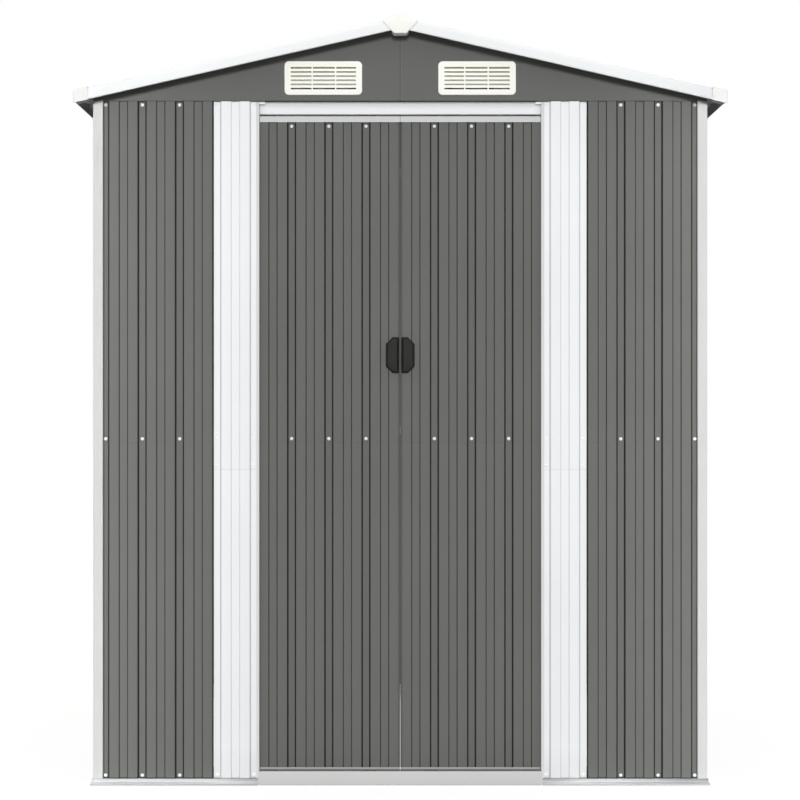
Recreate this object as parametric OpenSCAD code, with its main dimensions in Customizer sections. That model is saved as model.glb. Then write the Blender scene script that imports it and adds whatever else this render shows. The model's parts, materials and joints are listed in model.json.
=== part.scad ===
// Metal storage shed with a pair of hung sliding doors, in millimetres.
// The front faces -Y, +Z is up and the origin is at the middle of the base.

/* [Shed] */
// Width over the corner posts
wall_w = 1806; // [1500:1:2600]
// Depth over the corner posts
wall_d = 1890; // [1200:1:3000]
// Height of the front wall up to the gable
wall_h = 2004; // [1850:1:2200]
// Slope of the roof in degrees
roof_pitch = 12.75; // [8:0.25:20]
// Height of the gable at its outer ends
gable_side = 24; // [18:1:60]

/* [Ribbed sheets] */
// Thickness of every ribbed sheet
sheet_t = 1; // [0.6:0.1:1.4]
// Distance from one valley to the next
rib_pitch = 110; // [90:1:140]
// Depth of a valley
rib_depth = 8; // [5:0.5:10]
// Flat width at the bottom of a valley
valley_floor = 18.7; // [14:0.1:26]
// Width of each sloping side of a valley
valley_side = 4; // [2:0.5:6]
// Flat width of the shallow strip between two valleys
strip_floor = 21.8; // [14:0.1:30]
// Width of each sloping side of the shallow strip
strip_side = 2.5; // [1:0.5:4]
// Depth of the shallow strip
strip_depth = 3.5; // [1:0.25:5]
// Height of the seam in the grey walls and doors
seam_z = 999; // [800:1:1200]
// Height of the seam in the white panels beside the doorway
jamb_seam_z = 921; // [760:1:1150]
// Gap left between two sheets at a seam
lap_gap = 0.6; // [0.4:0.1:1.5]
// Gap kept under trims that lie on a sheet and over posts and side sheets
seat_gap = 0.1; // [0.05:0.05:0.3]

/* [Corner posts] */
// Width of each face of a corner post
post_leg = 28.7; // [25:0.1:32]
// Thickness of a corner post
post_t = 1; // [0.8:0.1:1.5]
// Distance from the outer corner to the first valley
corner_valley = 34; // [31:0.5:36]

/* [Base] */
// Thickness of the base rails
rail_t = 1.5; // [1:0.1:2.5]
// Height of the upright behind the panels
rail_up = 45; // [36:1:70]
// Height of the ledge under the panels
ledge_z = 12.5; // [10:0.5:24]
// How far the ledge stands out of the frame plane
ledge_out = 13; // [11.5:0.5:18]
// Width of the foot inside the side and rear walls
foot_in = 40; // [30:1:60]
// How far the front toe stands out of the frame plane
toe_out = 55; // [35:1:80]
// Height of the front toe
toe_h = 4.5; // [3:0.5:7]
// Radius of an anchor hole
anchor_r = 4.5; // [3:0.25:6]
// Distance from an anchor hole to the outer corner along the wall
anchor_end = 145; // [80:1:250]

/* [Doorway] */
// Clear width between the jambs
doorway_w = 830; // [700:1:1100]
// Width of the jamb lip on the front
jamb_lip = 9; // [7:0.5:14]
// Depth of the jamb behind the frame plane
jamb_return = 18; // [10:0.5:20]
// Width of the tab at the top of a jamb
jamb_tab_w = 17; // [8:0.5:30]
// Height of the tab at the top of a jamb
jamb_tab_h = 7; // [5:0.5:20]
// Distance from the jamb to the nearest valley
jamb_valley = 14.6; // [14:0.1:18]
// Distance from the jamb to the edge of the white panel
jamb_cover = 6; // [5:0.5:7]
// Height of the door sill
sill_h = 41; // [30:1:60]
// Width of the turned edge on top of the sill
sill_hem = 8; // [5:0.5:16]

/* [Frame rails] */
// Height of the rails at mid height
mid_rail_h = 30; // [24:1:50]
// Depth of the rails at mid height
mid_rail_d = 15; // [10:0.5:16]
// How far the rails at mid height start below the seam
mid_rail_drop = 3; // [2:0.5:10]
// Width of the flange of the side top rails
top_rail_w = 30; // [20:1:50]
// How far the side top rails hang below the front wall's top
top_rail_drop = 24; // [15:1:40]
// Depth of the flanges inside the gables
gable_flange = 28; // [20:1:40]
// Distance from the ridge to a purlin
purlin_x = 450; // [300:1:600]
// Width of a purlin
purlin_w = 30; // [20:1:50]
// Height of a purlin
purlin_h = 30; // [20:1:60]

/* [Doors] */
// Gap between the two closed doors
door_gap = 5; // [5:0.5:8]
// How far each closed door reaches behind its jamb
door_overlap = 35; // [20:1:60]
// How far the door front stands behind the frame plane
door_set = 25; // [24:0.5:32]
// Thickness of the door rails
door_rail_t = 1.5; // [1:0.1:2]
// Height of the lower edge of the doors
door_low = 31; // [26:1:40]
// Height of the front lip of the top rail
door_top_lip = 18.8; // [12:0.1:30]
// Height of the front lip of the bottom rail
door_low_lip = 9; // [6:1:16]
// Height of the top rail behind the door sheets
door_brace = 41; // [34:1:60]
// Depth of the brace at mid height behind the door sheets
door_brace_d = 15; // [10:0.5:15]
// Distance kept between the doors and the tracks above and below
door_clear = 5; // [5:0.5:8]
// Height of the header track
track_h = 36; // [30:1:50]
// Depth of the header track
track_w = 50; // [44:1:64]
// How far the header's face sits behind the wall frame
header_set = 11; // [6:0.5:16]
// Height over which the header's face curves back
header_cove = 20; // [12:0.5:28]
// Width of the slot under the header track
track_slot = 12; // [10:0.5:14]
// Thickness of a hanger neck
hanger_t = 6; // [4:0.5:8]
// Length of a hanger neck and of a floor guide
hanger_l = 40; // [25:1:60]
// Length of a hanger shoe
shoe_l = 60; // [40:1:90]
// Height of a hanger shoe
shoe_h = 17; // [8:0.5:24]
// How far a shoe reaches past each side of the slot
shoe_reach = 8; // [5:0.5:10]
// Thickness of the guide rib on the floor
guide_t = 2; // [1.5:0.25:4]
// Thickness of each leg of a floor guide
guide_leg = 3; // [2:0.5:4]
// How far the floor guides reach below the doors
guide_drop = 20; // [12:1:22]
// Distance from the guide rib to the back of the floor track
guide_back = 22.5; // [16:0.5:30]
// Running clearance of the hangers and guides
slide_clear = 0.3; // [0.2:0.1:0.6]

/* [Handles] */
// Height of the middle of the handles
handle_z = 1258; // [1000:1:1500]
// Width of one handle
handle_w = 39; // [30:1:50]
// Length of a handle
handle_h = 106; // [80:1:140]
// Size of the cut corners
handle_cut = 20; // [10:0.5:26]
// How far a handle stands out of the door
handle_out = 20; // [12:0.5:22]
// Width of the bevel round a handle
handle_bevel = 5.5; // [3:0.5:9]
// Height of the straight edge under the bevel
handle_base = 4; // [2:0.5:8]
// Distance from the handle to the meeting edge of the door
handle_edge = 1; // [1:0.5:6]

/* [Vents] */
// Width of a vent
vent_w = 228; // [160:1:280]
// Height of a vent
vent_h = 99; // [70:1:110]
// Corner radius of a vent
vent_r = 12.7; // [6:0.1:20]
// Distance from the ridge line to the middle of a vent
vent_x = 226; // [170:1:300]
// Height of a vent's middle above the front wall
vent_rise = 67.5; // [60:0.5:90]
// Thickness of a vent's face
vent_face = 4; // [3:0.5:6]
// Depth of the vent body behind its face
vent_depth = 6; // [4:0.5:10]
// Plain rim left and right of the vent body
vent_rim = 14; // [10:0.5:20]
// Plain rim above and below the vent body
vent_rim_z = 9.5; // [7:0.5:14]
// Gap round the vent body in the gable
vent_fit = 2; // [1:0.5:4]
// Number of slot rows in a vent
vent_rows = 6; // [3:1:6]
// Height of a slot at the face
slot_h = 5; // [3:0.5:7]
// Distance from one slot row to the next
slot_step = 12.2; // [10:0.1:13]
// Width of the bars between slots and at the ends of the body
slot_bar = 4; // [3:0.5:8]
// Slope of the louvre slots in degrees
slot_tilt = 30; // [15:1:35]

/* [Roof] */
// How far the roof stands out past the front and rear posts
verge_out = 60; // [40:1:100]
// How far the roof stands out past the side posts
eave_out = 46; // [36:1:80]
// Depth of the verge trims, measured square to the slope
verge_h = 32.3; // [24:0.1:50]
// Height of the eave trims
eave_h = 32.4; // [26:0.1:60]
// Width of the flanges on the verge and eave trims
trim_flange = 40; // [20:1:60]
// Thickness of the trims
trim_t = 1.2; // [0.8:0.1:2]
// Width of the edge turned in at the bottom of the trims
trim_hem = 10; // [5:0.5:16]
// Distance from the verge trims to the edge of the roof sheets
roof_inset = 5; // [3:0.5:12]
// Distance from the ridge line to the top edge of a roof sheet
ridge_open = 4; // [3:0.5:10]
// Half width of the raised ridge cap
ridge_half = 50; // [40:1:70]
// Height of the ridge cap above the sheets at its edge
ridge_peak = 21; // [18:0.5:40]
// Width of the ridge cap's feet on the roof sheets
ridge_foot = 14; // [8:0.5:24]
// Thickness of the ridge cap
ridge_t = 1.5; // [1.4:0.1:2]
// Thickness of the ridge end cap's skirt
skirt_t = 2.4; // [1.6:0.1:4]
// How far the ridge end cap's skirt covers the ridge cap
skirt_lap = 24; // [12:1:50]
// Height of the ridge end cap's upright sides
ridge_side_h = 7; // [4:0.5:12]
// Half width of the ridge end cap at its lower bend
ridge_mid_half = 28.5; // [22:0.5:36]
// Distance from the ridge end cap's sides to its lower bend
ridge_mid_drop = 25.5; // [18:0.5:34]
// Half width of the ridge end cap at its bottom
ridge_low_half = 18; // [10:0.5:22]
// Distance from the ridge end cap's sides to its bottom
ridge_low_drop = 38.5; // [34:0.5:60]
// Depth of the tray behind the lower part of the ridge end cap
ridge_tray = 48; // [30:1:54]
// Height of the sides of that tray
ridge_tray_h = 6; // [3:0.5:7]
// Thickness of the plastic caps on the roof corners
cap_t = 4; // [3:0.5:6]
// Width of the plastic caps on the roof corners
cap_w = 43; // [30:1:60]
// Thickness of the plastic caps over the trims
cap_top = 2; // [1.5:0.25:4]
// Thickness of the plastic caps under the trims
cap_floor = 1.5; // [1:0.25:3]

/* [Hidden] */
$fn = 48;
hw = wall_w / 2;
hd = wall_d / 2;
skin = rib_depth + sheet_t;
frame_x = hw - skin - post_t;
frame_y = hd - skin - post_t;
post_lip = post_t + rib_depth;
top_gap = 10 * seat_gap;
post_top = wall_h - top_gap;
out_x = frame_x + ledge_out;
out_y = frame_y + ledge_out;
mitre = 1.2 * (foot_in + ledge_out);
jamb_t = sheet_t;
jamb_x = doorway_w / 2;
slope = tan(roof_pitch);
rake = cos(roof_pitch);
ridge_z = wall_h + gable_side + frame_x * slope;
side_top = ridge_z - (hw - post_t) * slope - top_gap;
front_count = max(2, round((hw - corner_valley - jamb_x - jamb_valley) / rib_pitch));
front_step = (hw - corner_valley - jamb_x - jamb_valley) / front_count;
front_valleys = [for (i = [0 : front_count]) -hw + corner_valley + i * front_step];
white_edge = front_valleys[front_count - 1] - valley_floor / 2;
mid_low = seam_z - mid_rail_drop;
mid_high = mid_low + mid_rail_h;
track_low = wall_h - track_h;
door_top = track_low - door_clear;
door_w = jamb_x + door_overlap - door_gap / 2;
door_back = door_set + skin;
door_mid = door_set + skin / 2;
door_first = -(valley_floor + valley_side) / 2;
door_count = ceil((door_w - door_first) / rib_pitch);
door_valleys = [for (i = [0 : door_count]) door_first + i * rib_pitch];
guide_top = door_low - door_clear;
hanger_at = [door_w * 0.2, door_w * 0.85];
verge_y = hd + verge_out;
eave_x = hw + eave_out;
roof_y = verge_y - roof_inset;
roof_valley_y = frame_y + skin - gable_flange / 2;
gable_x = hw - post_t;
seam_half = lap_gap;
vent_z = wall_h + vent_rise;
vent_body_w = vent_w - 2 * vent_rim;
vent_body_h = vent_h - 2 * vent_rim_z;
slot_w = (vent_body_w - 4 * slot_bar) / 3;
slot_cut = 4 * (vent_face + vent_depth);
trim_low = skin + seat_gap;
trim_high = trim_low + trim_t;
verge_low = trim_high - verge_h;

// One dip in a ribbed sheet: four corners from the left shoulder to the right shoulder
function dip(c, floor_w, side, drop, grow, top) = [
  [c - floor_w / 2 - side - grow, top],
  [c - floor_w / 2 - grow, top - drop],
  [c + floor_w / 2 + grow, top - drop],
  [c + floor_w / 2 + side + grow, top]];
// How far a bend moves sideways on the inner face of the sheet
function bend_shift(side, drop) = sheet_t * tan(atan2(drop, side) / 2);
// Face of a sheet with a deep valley at each centre and a shallow strip between two
function rib_face(centres, top, inner) = [
  for (i = [0 : len(centres) - 1]) each concat(
    dip(centres[i], valley_floor, valley_side, rib_depth,
      inner ? bend_shift(valley_side, rib_depth) : 0, top),
    i < len(centres) - 1
      ? dip((centres[i] + centres[i + 1]) / 2, strip_floor, strip_side, strip_depth,
        inner ? bend_shift(strip_side, strip_depth) : 0, top)
      : [])];
// The part of a face between two edges
function cut_face(face, u0, u1) = concat(
  [[u0, lookup(u0, face)]],
  [for (p = face) if (p[0] > u0 + 0.01 && p[0] < u1 - 0.01) p],
  [[u1, lookup(u1, face)]]);
function turned(list) = [for (i = [len(list) - 1 : -1 : 0]) list[i]];
// Valley centres spread evenly between two ends
function spread(u0, u1) = let (n = max(1, round((u1 - u0) / rib_pitch)))
  [for (i = [0 : n]) u0 + i * (u1 - u0) / n];
// Height of a line n above the underside of the roof sheets, at x from the ridge
function roof_line(x, n) = ridge_z - slope * x + n / rake;

// Section of a ribbed sheet: u to the right and the outer face towards +Y
module rib_section(centres, u0, u1) {
  outer = cut_face(rib_face(centres, skin, false), u0, u1);
  inner = cut_face(rib_face(centres, skin - sheet_t, true), u0, u1);
  polygon(concat(outer, turned(inner)));
}
// Upright ribbed sheet whose outer face looks to -Y
module rib_sheet(centres, u0, u1, z0, z1) {
  translate([0, 0, z0])
    linear_extrude(z1 - z0)
      mirror([0, 1])
        rib_section(centres, u0, u1);
}

// The four wall frames, in which -Y is outward
module at_front() {
  translate([0, -frame_y, 0])
    children();
}
module at_rear() {
  rotate([0, 0, 180])
    translate([0, -frame_y, 0])
      children();
}
module at_left() {
  rotate([0, 0, -90])
    translate([0, -frame_x, 0])
      children();
}
module at_right() {
  rotate([0, 0, 90])
    translate([0, -frame_x, 0])
      children();
}
module both_sides() {
  children();
  mirror([1, 0, 0])
    children();
}
module both_ends() {
  children();
  mirror([0, 1, 0])
    children();
}

// Box in a wall frame: along the wall, outward and upward
module bar(u0, u1, n0, n1, z0, z1) {
  translate([u0, -n1, z0])
    cube([u1 - u0, n1 - n0, z1 - z0]);
}
// Rectangle of a rail section: outward and upward
module face(n0, n1, z0, z1) {
  translate([-n1, z0])
    square([n1 - n0, z1 - z0]);
}
// Rail section drawn out along a wall
module along_wall(u0, u1) {
  translate([u0, 0, 0])
    rotate([90, 0, 90])
      linear_extrude(u1 - u0)
        children();
}
// Outline in X and Z drawn out from one Y to another
module along_y(y0, y1) {
  translate([0, y1, 0])
    rotate([90, 0, 0])
      linear_extrude(y1 - y0)
        children();
}
// Band between two lines that follow the right slope of the roof
module slope_band(x0, x1, n0, n1) {
  polygon([[x0, roof_line(x0, n0)], [x1, roof_line(x1, n0)],
    [x1, roof_line(x1, n1)], [x0, roof_line(x0, n1)]]);
}

// Base rails and door sill
module rail_section(inner_foot) {
  face(-rail_t, 0, 0, rail_up);
  face(-rail_t, ledge_out, ledge_z - rail_t, ledge_z);
  face(ledge_out - rail_t, ledge_out, 0, ledge_z);
  if (inner_foot)
    face(-foot_in, 0, 0, rail_t);
  else {
    face(ledge_out - rail_t, toe_out, toe_h - rail_t, toe_h);
    face(toe_out - rail_t, toe_out, 0, toe_h);
  }
}
module front_rail_left() {
  intersection() {
    at_front()
      along_wall(-out_x, -jamb_x - jamb_t)
        rail_section(false);
    linear_extrude(rail_up)
      polygon([[-out_x, -frame_y - toe_out], [-out_x, -out_y], [-out_x + mitre, -out_y + mitre],
        [-jamb_x - jamb_t, -out_y + mitre], [-jamb_x - jamb_t, -frame_y - toe_out]]);
  }
}
module front_base_rail() {
  color("white")
    both_sides()
      front_rail_left();
}
module side_rail() {
  difference() {
    intersection() {
      at_left()
        along_wall(-out_y, out_y)
          rail_section(true);
      linear_extrude(rail_up)
        polygon([[-out_x, -out_y], [-out_x, out_y], [-out_x + mitre, out_y - mitre],
          [-out_x + mitre, -out_y + mitre]]);
    }
    both_ends()
      translate([-frame_x + foot_in / 2 + 1, hd - anchor_end, -1])
        cylinder(r = anchor_r, h = rail_t + 2);
  }
}
module left_base_rail() {
  color("white")
    side_rail();
}
module right_base_rail() {
  color("white")
    mirror([1, 0, 0])
      side_rail();
}
module rear_base_rail() {
  color("white")
    intersection() {
      at_rear()
        along_wall(-out_x, out_x)
          rail_section(true);
      linear_extrude(rail_up)
        polygon([[-out_x, out_y], [out_x, out_y], [out_x - mitre, out_y - mitre],
          [-out_x + mitre, out_y - mitre]]);
    }
}
module door_sill() {
  color("gainsboro")
    at_front()
      along_wall(-jamb_x, jamb_x) {
        face(toe_out - rail_t, toe_out, 0, sill_h);
        face(toe_out - sill_hem, toe_out, sill_h - rail_t, sill_h);
        face(-rail_t, toe_out, 0, rail_t);
      }
}
module door_floor_track() {
  color("silver")
    at_front()
      along_wall(-frame_x + foot_in, frame_x - foot_in) {
        face(-door_mid - guide_back, -rail_t, 0, rail_t);
        face(-door_mid - guide_t / 2, -door_mid + guide_t / 2, 0, guide_top);
        face(-door_mid - guide_back, -door_mid - guide_back + rail_t, 0, guide_top);
      }
}

// Corner posts
module post_plan() {
  polygon([[-hw, -hd], [-hw + post_leg, -hd], [-hw + post_leg, -hd + post_lip],
    [-hw + post_leg - post_t, -hd + post_lip], [-hw + post_leg - post_t, -hd + post_t],
    [-hw + post_t, -hd + post_t], [-hw + post_t, -hd + post_leg - post_t],
    [-hw + post_lip, -hd + post_leg - post_t], [-hw + post_lip, -hd + post_leg],
    [-hw, -hd + post_leg]]);
}
module post_top_plan() {
  polygon([[-hw, -hd + post_t], [-hw + post_t, -hd + post_t], [-hw + post_t, -hd + post_leg - post_t],
    [-hw + post_lip, -hd + post_leg - post_t], [-hw + post_lip, -hd + post_leg],
    [-hw, -hd + post_leg]]);
}
module front_left_post() {
  translate([0, 0, ledge_z])
    linear_extrude(post_top - ledge_z)
      post_plan();
  translate([0, 0, ledge_z])
    linear_extrude(side_top - ledge_z)
      post_top_plan();
}
module front_corner_posts() {
  color("whitesmoke")
    both_sides()
      front_left_post();
}
module rear_corner_posts() {
  color("whitesmoke")
    mirror([0, 1, 0])
      both_sides()
        front_left_post();
}

// Front wall
module grey_panel(z0, z1) {
  at_front()
    rib_sheet(front_valleys, front_valleys[0] - valley_floor / 2, white_edge - lap_gap / 2, z0, z1);
}
module white_panel(z0, z1) {
  at_front()
    rib_sheet(front_valleys, white_edge + lap_gap / 2, -jamb_x - jamb_cover, z0, z1);
}
module front_panels_lower() {
  color("dimgray")
    both_sides()
      grey_panel(ledge_z, seam_z - lap_gap / 2);
}
module front_panels_upper() {
  color("dimgray")
    both_sides()
      grey_panel(seam_z + lap_gap / 2, wall_h);
}
module jamb_panels_lower() {
  color("white")
    both_sides()
      white_panel(ledge_z, jamb_seam_z - lap_gap / 2);
}
module jamb_panels_upper() {
  color("white")
    both_sides()
      white_panel(jamb_seam_z + lap_gap / 2, wall_h);
}
module door_jambs() {
  color("white")
    both_sides()
      at_front() {
        bar(jamb_x, jamb_x + jamb_lip, sheet_t, sheet_t + jamb_t, ledge_z, wall_h);
        bar(jamb_x, jamb_x + jamb_t, -jamb_return, sheet_t + jamb_t, ledge_z, track_low);
        bar(jamb_x, jamb_x + jamb_t, -jamb_return, 0, rail_t, track_low);
        bar(jamb_x - jamb_tab_w, jamb_x + jamb_t, sheet_t, sheet_t + jamb_t, post_top - jamb_tab_h,
          post_top);
      }
}

// Side and rear walls
module side_sheet(z0, z1) {
  end = hd - corner_valley;
  rib_sheet(spread(-end, end), -end - valley_floor / 2, end + valley_floor / 2, z0, z1);
}
module rear_sheet(z0, z1) {
  end = hw - corner_valley;
  rib_sheet(spread(-end, end), -end - valley_floor / 2, end + valley_floor / 2, z0, z1);
}
module left_wall_lower() {
  color("dimgray")
    at_left()
      side_sheet(ledge_z, seam_z - lap_gap / 2);
}
module left_wall_upper() {
  color("dimgray")
    at_left()
      side_sheet(seam_z + lap_gap / 2, side_top);
}
module right_wall_lower() {
  color("dimgray")
    at_right()
      side_sheet(ledge_z, seam_z - lap_gap / 2);
}
module right_wall_upper() {
  color("dimgray")
    at_right()
      side_sheet(seam_z + lap_gap / 2, side_top);
}
module rear_wall_lower() {
  color("dimgray")
    at_rear()
      rear_sheet(ledge_z, seam_z - lap_gap / 2);
}
module rear_wall_upper() {
  color("dimgray")
    at_rear()
      rear_sheet(seam_z + lap_gap / 2, wall_h);
}

// Rails of the frame
function header_curve(shift) = [for (i = [0 : 6]) let (t = i / 6)
  [header_set * (1 - pow(1 - t, 2)) + shift, wall_h - header_cove * t]];
module door_header_track() {
  slot_front = door_mid - track_slot / 2;
  color("whitesmoke")
    at_front()
      along_wall(-frame_x, frame_x) {
        polygon(concat(header_curve(0),
          [[header_set, track_low], [header_set + rail_t, track_low]], turned(header_curve(rail_t))));
        face(-track_w, 0, wall_h - rail_t, wall_h);
        face(-track_w, -track_w + rail_t, track_low, wall_h);
        face(-slot_front, -header_set, track_low, track_low + rail_t);
        face(-track_w, -slot_front - track_slot, track_low, track_low + rail_t);
      }
}
module side_top_rails() {
  color("silver")
    both_sides()
      along_y(-frame_y + track_w, frame_y - foot_in) {
        slope_band(frame_x - top_rail_w, frame_x, -rail_t, 0);
        polygon([[frame_x - rail_t, wall_h - top_rail_drop], [frame_x, wall_h - top_rail_drop],
          [frame_x, roof_line(frame_x, 0)], [frame_x - rail_t, roof_line(frame_x - rail_t, 0)]]);
      }
}
module rear_top_rail() {
  color("silver")
    at_rear()
      along_wall(-frame_x, frame_x) {
        face(-rail_t, 0, track_low, wall_h);
        face(-foot_in, 0, wall_h - rail_t, wall_h);
        face(-foot_in, -foot_in + rail_t, track_low, wall_h);
      }
}
module mid_section() {
  face(-rail_t, 0, mid_low, mid_high);
  face(-mid_rail_d, 0, mid_low, mid_low + rail_t);
  face(-mid_rail_d, 0, mid_high - rail_t, mid_high);
}
module wall_mid_rails() {
  color("silver") {
    both_sides() {
      at_left()
        along_wall(-frame_y + mid_rail_d, frame_y - mid_rail_d)
          mid_section();
      at_front()
        along_wall(jamb_x + jamb_t, frame_x - mid_rail_d - lap_gap)
          mid_section();
    }
    at_rear()
      along_wall(-frame_x + mid_rail_d + lap_gap, frame_x - mid_rail_d - lap_gap)
        mid_section();
  }
}

// Gables and vents
module gable_right() {
  difference() {
    along_y(-frame_y - skin, -frame_y - skin + sheet_t)
      polygon([[seam_half, wall_h], [gable_x, wall_h], [gable_x, roof_line(gable_x, 0)],
        [seam_half, roof_line(seam_half, 0)]]);
    translate([vent_x, -frame_y - skin, vent_z])
      cube([vent_body_w + 2 * vent_fit, slot_cut, vent_body_h + 2 * vent_fit], center = true);
  }
  along_y(-frame_y - skin, -frame_y - skin + gable_flange) {
    slope_band(seam_half, frame_x - top_gap, -sheet_t, 0);
    translate([seam_half, wall_h])
      square([frame_x - top_gap - seam_half, sheet_t]);
  }
}
module front_gables() {
  color("dimgray")
    both_sides()
      gable_right();
}
module rear_gables() {
  color("dimgray")
    mirror([0, 1, 0])
      both_sides()
        gable_right();
}
module rounded_plate(w, h, r) {
  square([w - 2 * r, h], center = true);
  square([w, h - 2 * r], center = true);
  for (sx = [-1, 1])
    for (sz = [-1, 1])
      translate([sx * (w / 2 - r), sz * (h / 2 - r)])
        circle(r);
}
module vent() {
  difference() {
    union() {
      along_y(-vent_face, 0)
        rounded_plate(vent_w, vent_h, vent_r);
      translate([-vent_body_w / 2, -vent_face / 2, -vent_body_h / 2])
        cube([vent_body_w, vent_depth + vent_face / 2, vent_body_h]);
    }
    for (row = [0 : vent_rows - 1])
      for (column = [-1 : 1])
        translate([column * (slot_w + slot_bar), -vent_face, (row - (vent_rows - 1) / 2) * slot_step])
          rotate([slot_tilt, 0, 0])
            cube([slot_w, slot_cut, slot_h * cos(slot_tilt)], center = true);
  }
}
module front_vents() {
  color("ivory")
    both_sides()
      translate([vent_x, -frame_y - skin, vent_z])
        vent();
}
module rear_vents() {
  color("ivory")
    mirror([0, 1, 0])
      both_sides()
        translate([vent_x, -frame_y - skin, vent_z])
          vent();
}

// Roof
module roof_sheet_right() {
  s0 = ridge_open;
  s1 = (eave_x - trim_t - top_gap - skin * sin(roof_pitch)) / rake;
  translate([0, 0, ridge_z])
    rotate([0, roof_pitch, 0])
      translate([s0, 0, 0])
        rotate([90, 0, 90])
          linear_extrude(s1 - s0)
            rib_section(spread(-roof_valley_y, roof_valley_y), -roof_y, roof_y);
}
module right_roof_sheet() {
  color("dimgray")
    roof_sheet_right();
}
module left_roof_sheet() {
  color("dimgray")
    mirror([1, 0, 0])
      roof_sheet_right();
}
module roof_purlins() {
  color("silver")
    both_sides()
      along_y(-frame_y - skin + gable_flange, frame_y + skin - gable_flange) {
        slope_band(purlin_x, purlin_x + purlin_w, -rail_t, 0);
        slope_band(purlin_x, purlin_x + rail_t, -purlin_h, 0);
        slope_band(purlin_x, purlin_x + purlin_w, -purlin_h, -purlin_h + rail_t);
      }
}
module ridge_cap() {
  edge = roof_line(ridge_half, trim_low);
  foot = roof_line(ridge_half + ridge_foot, trim_low);
  half = ridge_half + ridge_foot;
  color("dimgray")
    along_y(-verge_y + trim_flange, verge_y - trim_flange)
      polygon([[-half, foot], [-ridge_half, edge], [0, edge + ridge_peak], [ridge_half, edge],
        [half, foot], [half, foot + ridge_t], [ridge_half, edge + ridge_t],
        [0, edge + ridge_peak + ridge_t], [-ridge_half, edge + ridge_t], [-half, foot + ridge_t]]);
}
module ridge_end_cap() {
  low = roof_line(ridge_half, trim_low) + ridge_t + seat_gap;
  top = low + skirt_t;
  along_y(-verge_y - cap_t, -verge_y + trim_flange + skirt_lap)
    polygon([[-ridge_half, low], [0, low + ridge_peak], [ridge_half, low], [ridge_half, top],
      [0, top + ridge_peak], [-ridge_half, top]]);
  along_y(-verge_y - cap_t, -verge_y)
    polygon([[-ridge_half, top], [-ridge_half, top - ridge_side_h],
      [-ridge_mid_half, top - ridge_mid_drop], [-ridge_low_half, top - ridge_low_drop],
      [ridge_low_half, top - ridge_low_drop], [ridge_mid_half, top - ridge_mid_drop],
      [ridge_half, top - ridge_side_h], [ridge_half, top], [0, top + ridge_peak]]);
  bottom = top - ridge_low_drop;
  lean = ridge_tray_h * (ridge_mid_half - ridge_low_half) / (ridge_low_drop - ridge_mid_drop);
  along_y(-verge_y - cap_t, -verge_y - cap_t + ridge_tray)
    polygon([[-ridge_low_half - lean, bottom + ridge_tray_h], [-ridge_low_half, bottom],
      [ridge_low_half, bottom], [ridge_low_half + lean, bottom + ridge_tray_h],
      [ridge_low_half + lean - skirt_t, bottom + ridge_tray_h], [ridge_low_half - skirt_t, bottom + skirt_t],
      [skirt_t - ridge_low_half, bottom + skirt_t],
      [skirt_t - ridge_low_half - lean, bottom + ridge_tray_h]]);
}
module ridge_end_caps() {
  color("ivory")
    both_ends()
      ridge_end_cap();
}
module verge_trim_right() {
  along_y(-verge_y, -verge_y + trim_t)
    slope_band(seam_half, eave_x, verge_low, trim_high);
  along_y(-verge_y, -verge_y + trim_flange - seat_gap)
    slope_band(seam_half, eave_x - trim_t, trim_low, trim_high);
  along_y(-verge_y, -verge_y + trim_hem)
    slope_band(seam_half, eave_x - trim_t, verge_low, verge_low + trim_t);
}
module front_verge_trims() {
  color("whitesmoke")
    both_sides()
      verge_trim_right();
}
module rear_verge_trims() {
  color("whitesmoke")
    mirror([0, 1, 0])
      both_sides()
        verge_trim_right();
}
module eave_trims() {
  top = roof_line(eave_x, trim_high);
  color("whitesmoke")
    both_sides() {
      along_y(-verge_y + trim_t, verge_y - trim_t)
        polygon([[eave_x - trim_t, top - eave_h], [eave_x, top - eave_h], [eave_x, top],
          [eave_x - trim_t, roof_line(eave_x - trim_t, trim_high)]]);
      along_y(-verge_y + trim_flange, verge_y - trim_flange)
        slope_band(eave_x - trim_flange, eave_x, trim_low, trim_high);
    }
}
module corner_cap() {
  seat = trim_high + seat_gap;
  tip = eave_x + cap_t;
  under = verge_low - seat_gap;
  along_y(-verge_y - cap_t, -verge_y)
    slope_band(tip - cap_w, tip, under - cap_floor, seat + cap_top);
  along_y(-verge_y - cap_t, -verge_y + cap_w)
    slope_band(tip - cap_w, tip, under - cap_floor, under);
  along_y(-verge_y - cap_t, -verge_y + cap_w)
    slope_band(tip - cap_w, tip, seat, seat + cap_top);
  along_y(-verge_y - cap_t, -verge_y + cap_w)
    slope_band(eave_x + seat_gap, tip, under - cap_floor, seat + cap_top);
}
module roof_corner_caps() {
  color("ivory")
    both_ends()
      both_sides()
        corner_cap();
}

// Doors, drawn as the right door
module door_sheet(z0, z1) {
  at_front()
    translate([door_gap / 2, door_back, 0])
      rib_sheet(door_valleys, 0, door_w, z0, z1);
}
module door_panels() {
  door_sheet(door_low + door_rail_t, seam_z - lap_gap / 2);
  door_sheet(seam_z + lap_gap / 2, door_top - door_rail_t);
}
module door_rails() {
  t = door_rail_t;
  at_front()
    translate([door_gap / 2, 0, 0])
      along_wall(0, door_w) {
        face(-door_set, -door_set + t, door_top - door_top_lip, door_top);
        face(-door_back - t, -door_set + t, door_top - t, door_top);
        face(-door_back - t, -door_back, door_top - door_brace, door_top);
        face(-door_set, -door_set + t, door_low, door_low + door_low_lip);
        face(-door_back - t, -door_set + t, door_low, door_low + t);
        face(-door_back - t, -door_back, door_low, door_low + door_low_lip);
        face(-door_back - t, -door_back, mid_low, mid_high);
        face(-door_back - door_brace_d, -door_back, mid_low, mid_low + t);
        face(-door_back - door_brace_d, -door_back, mid_high - t, mid_high);
      }
}
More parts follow.
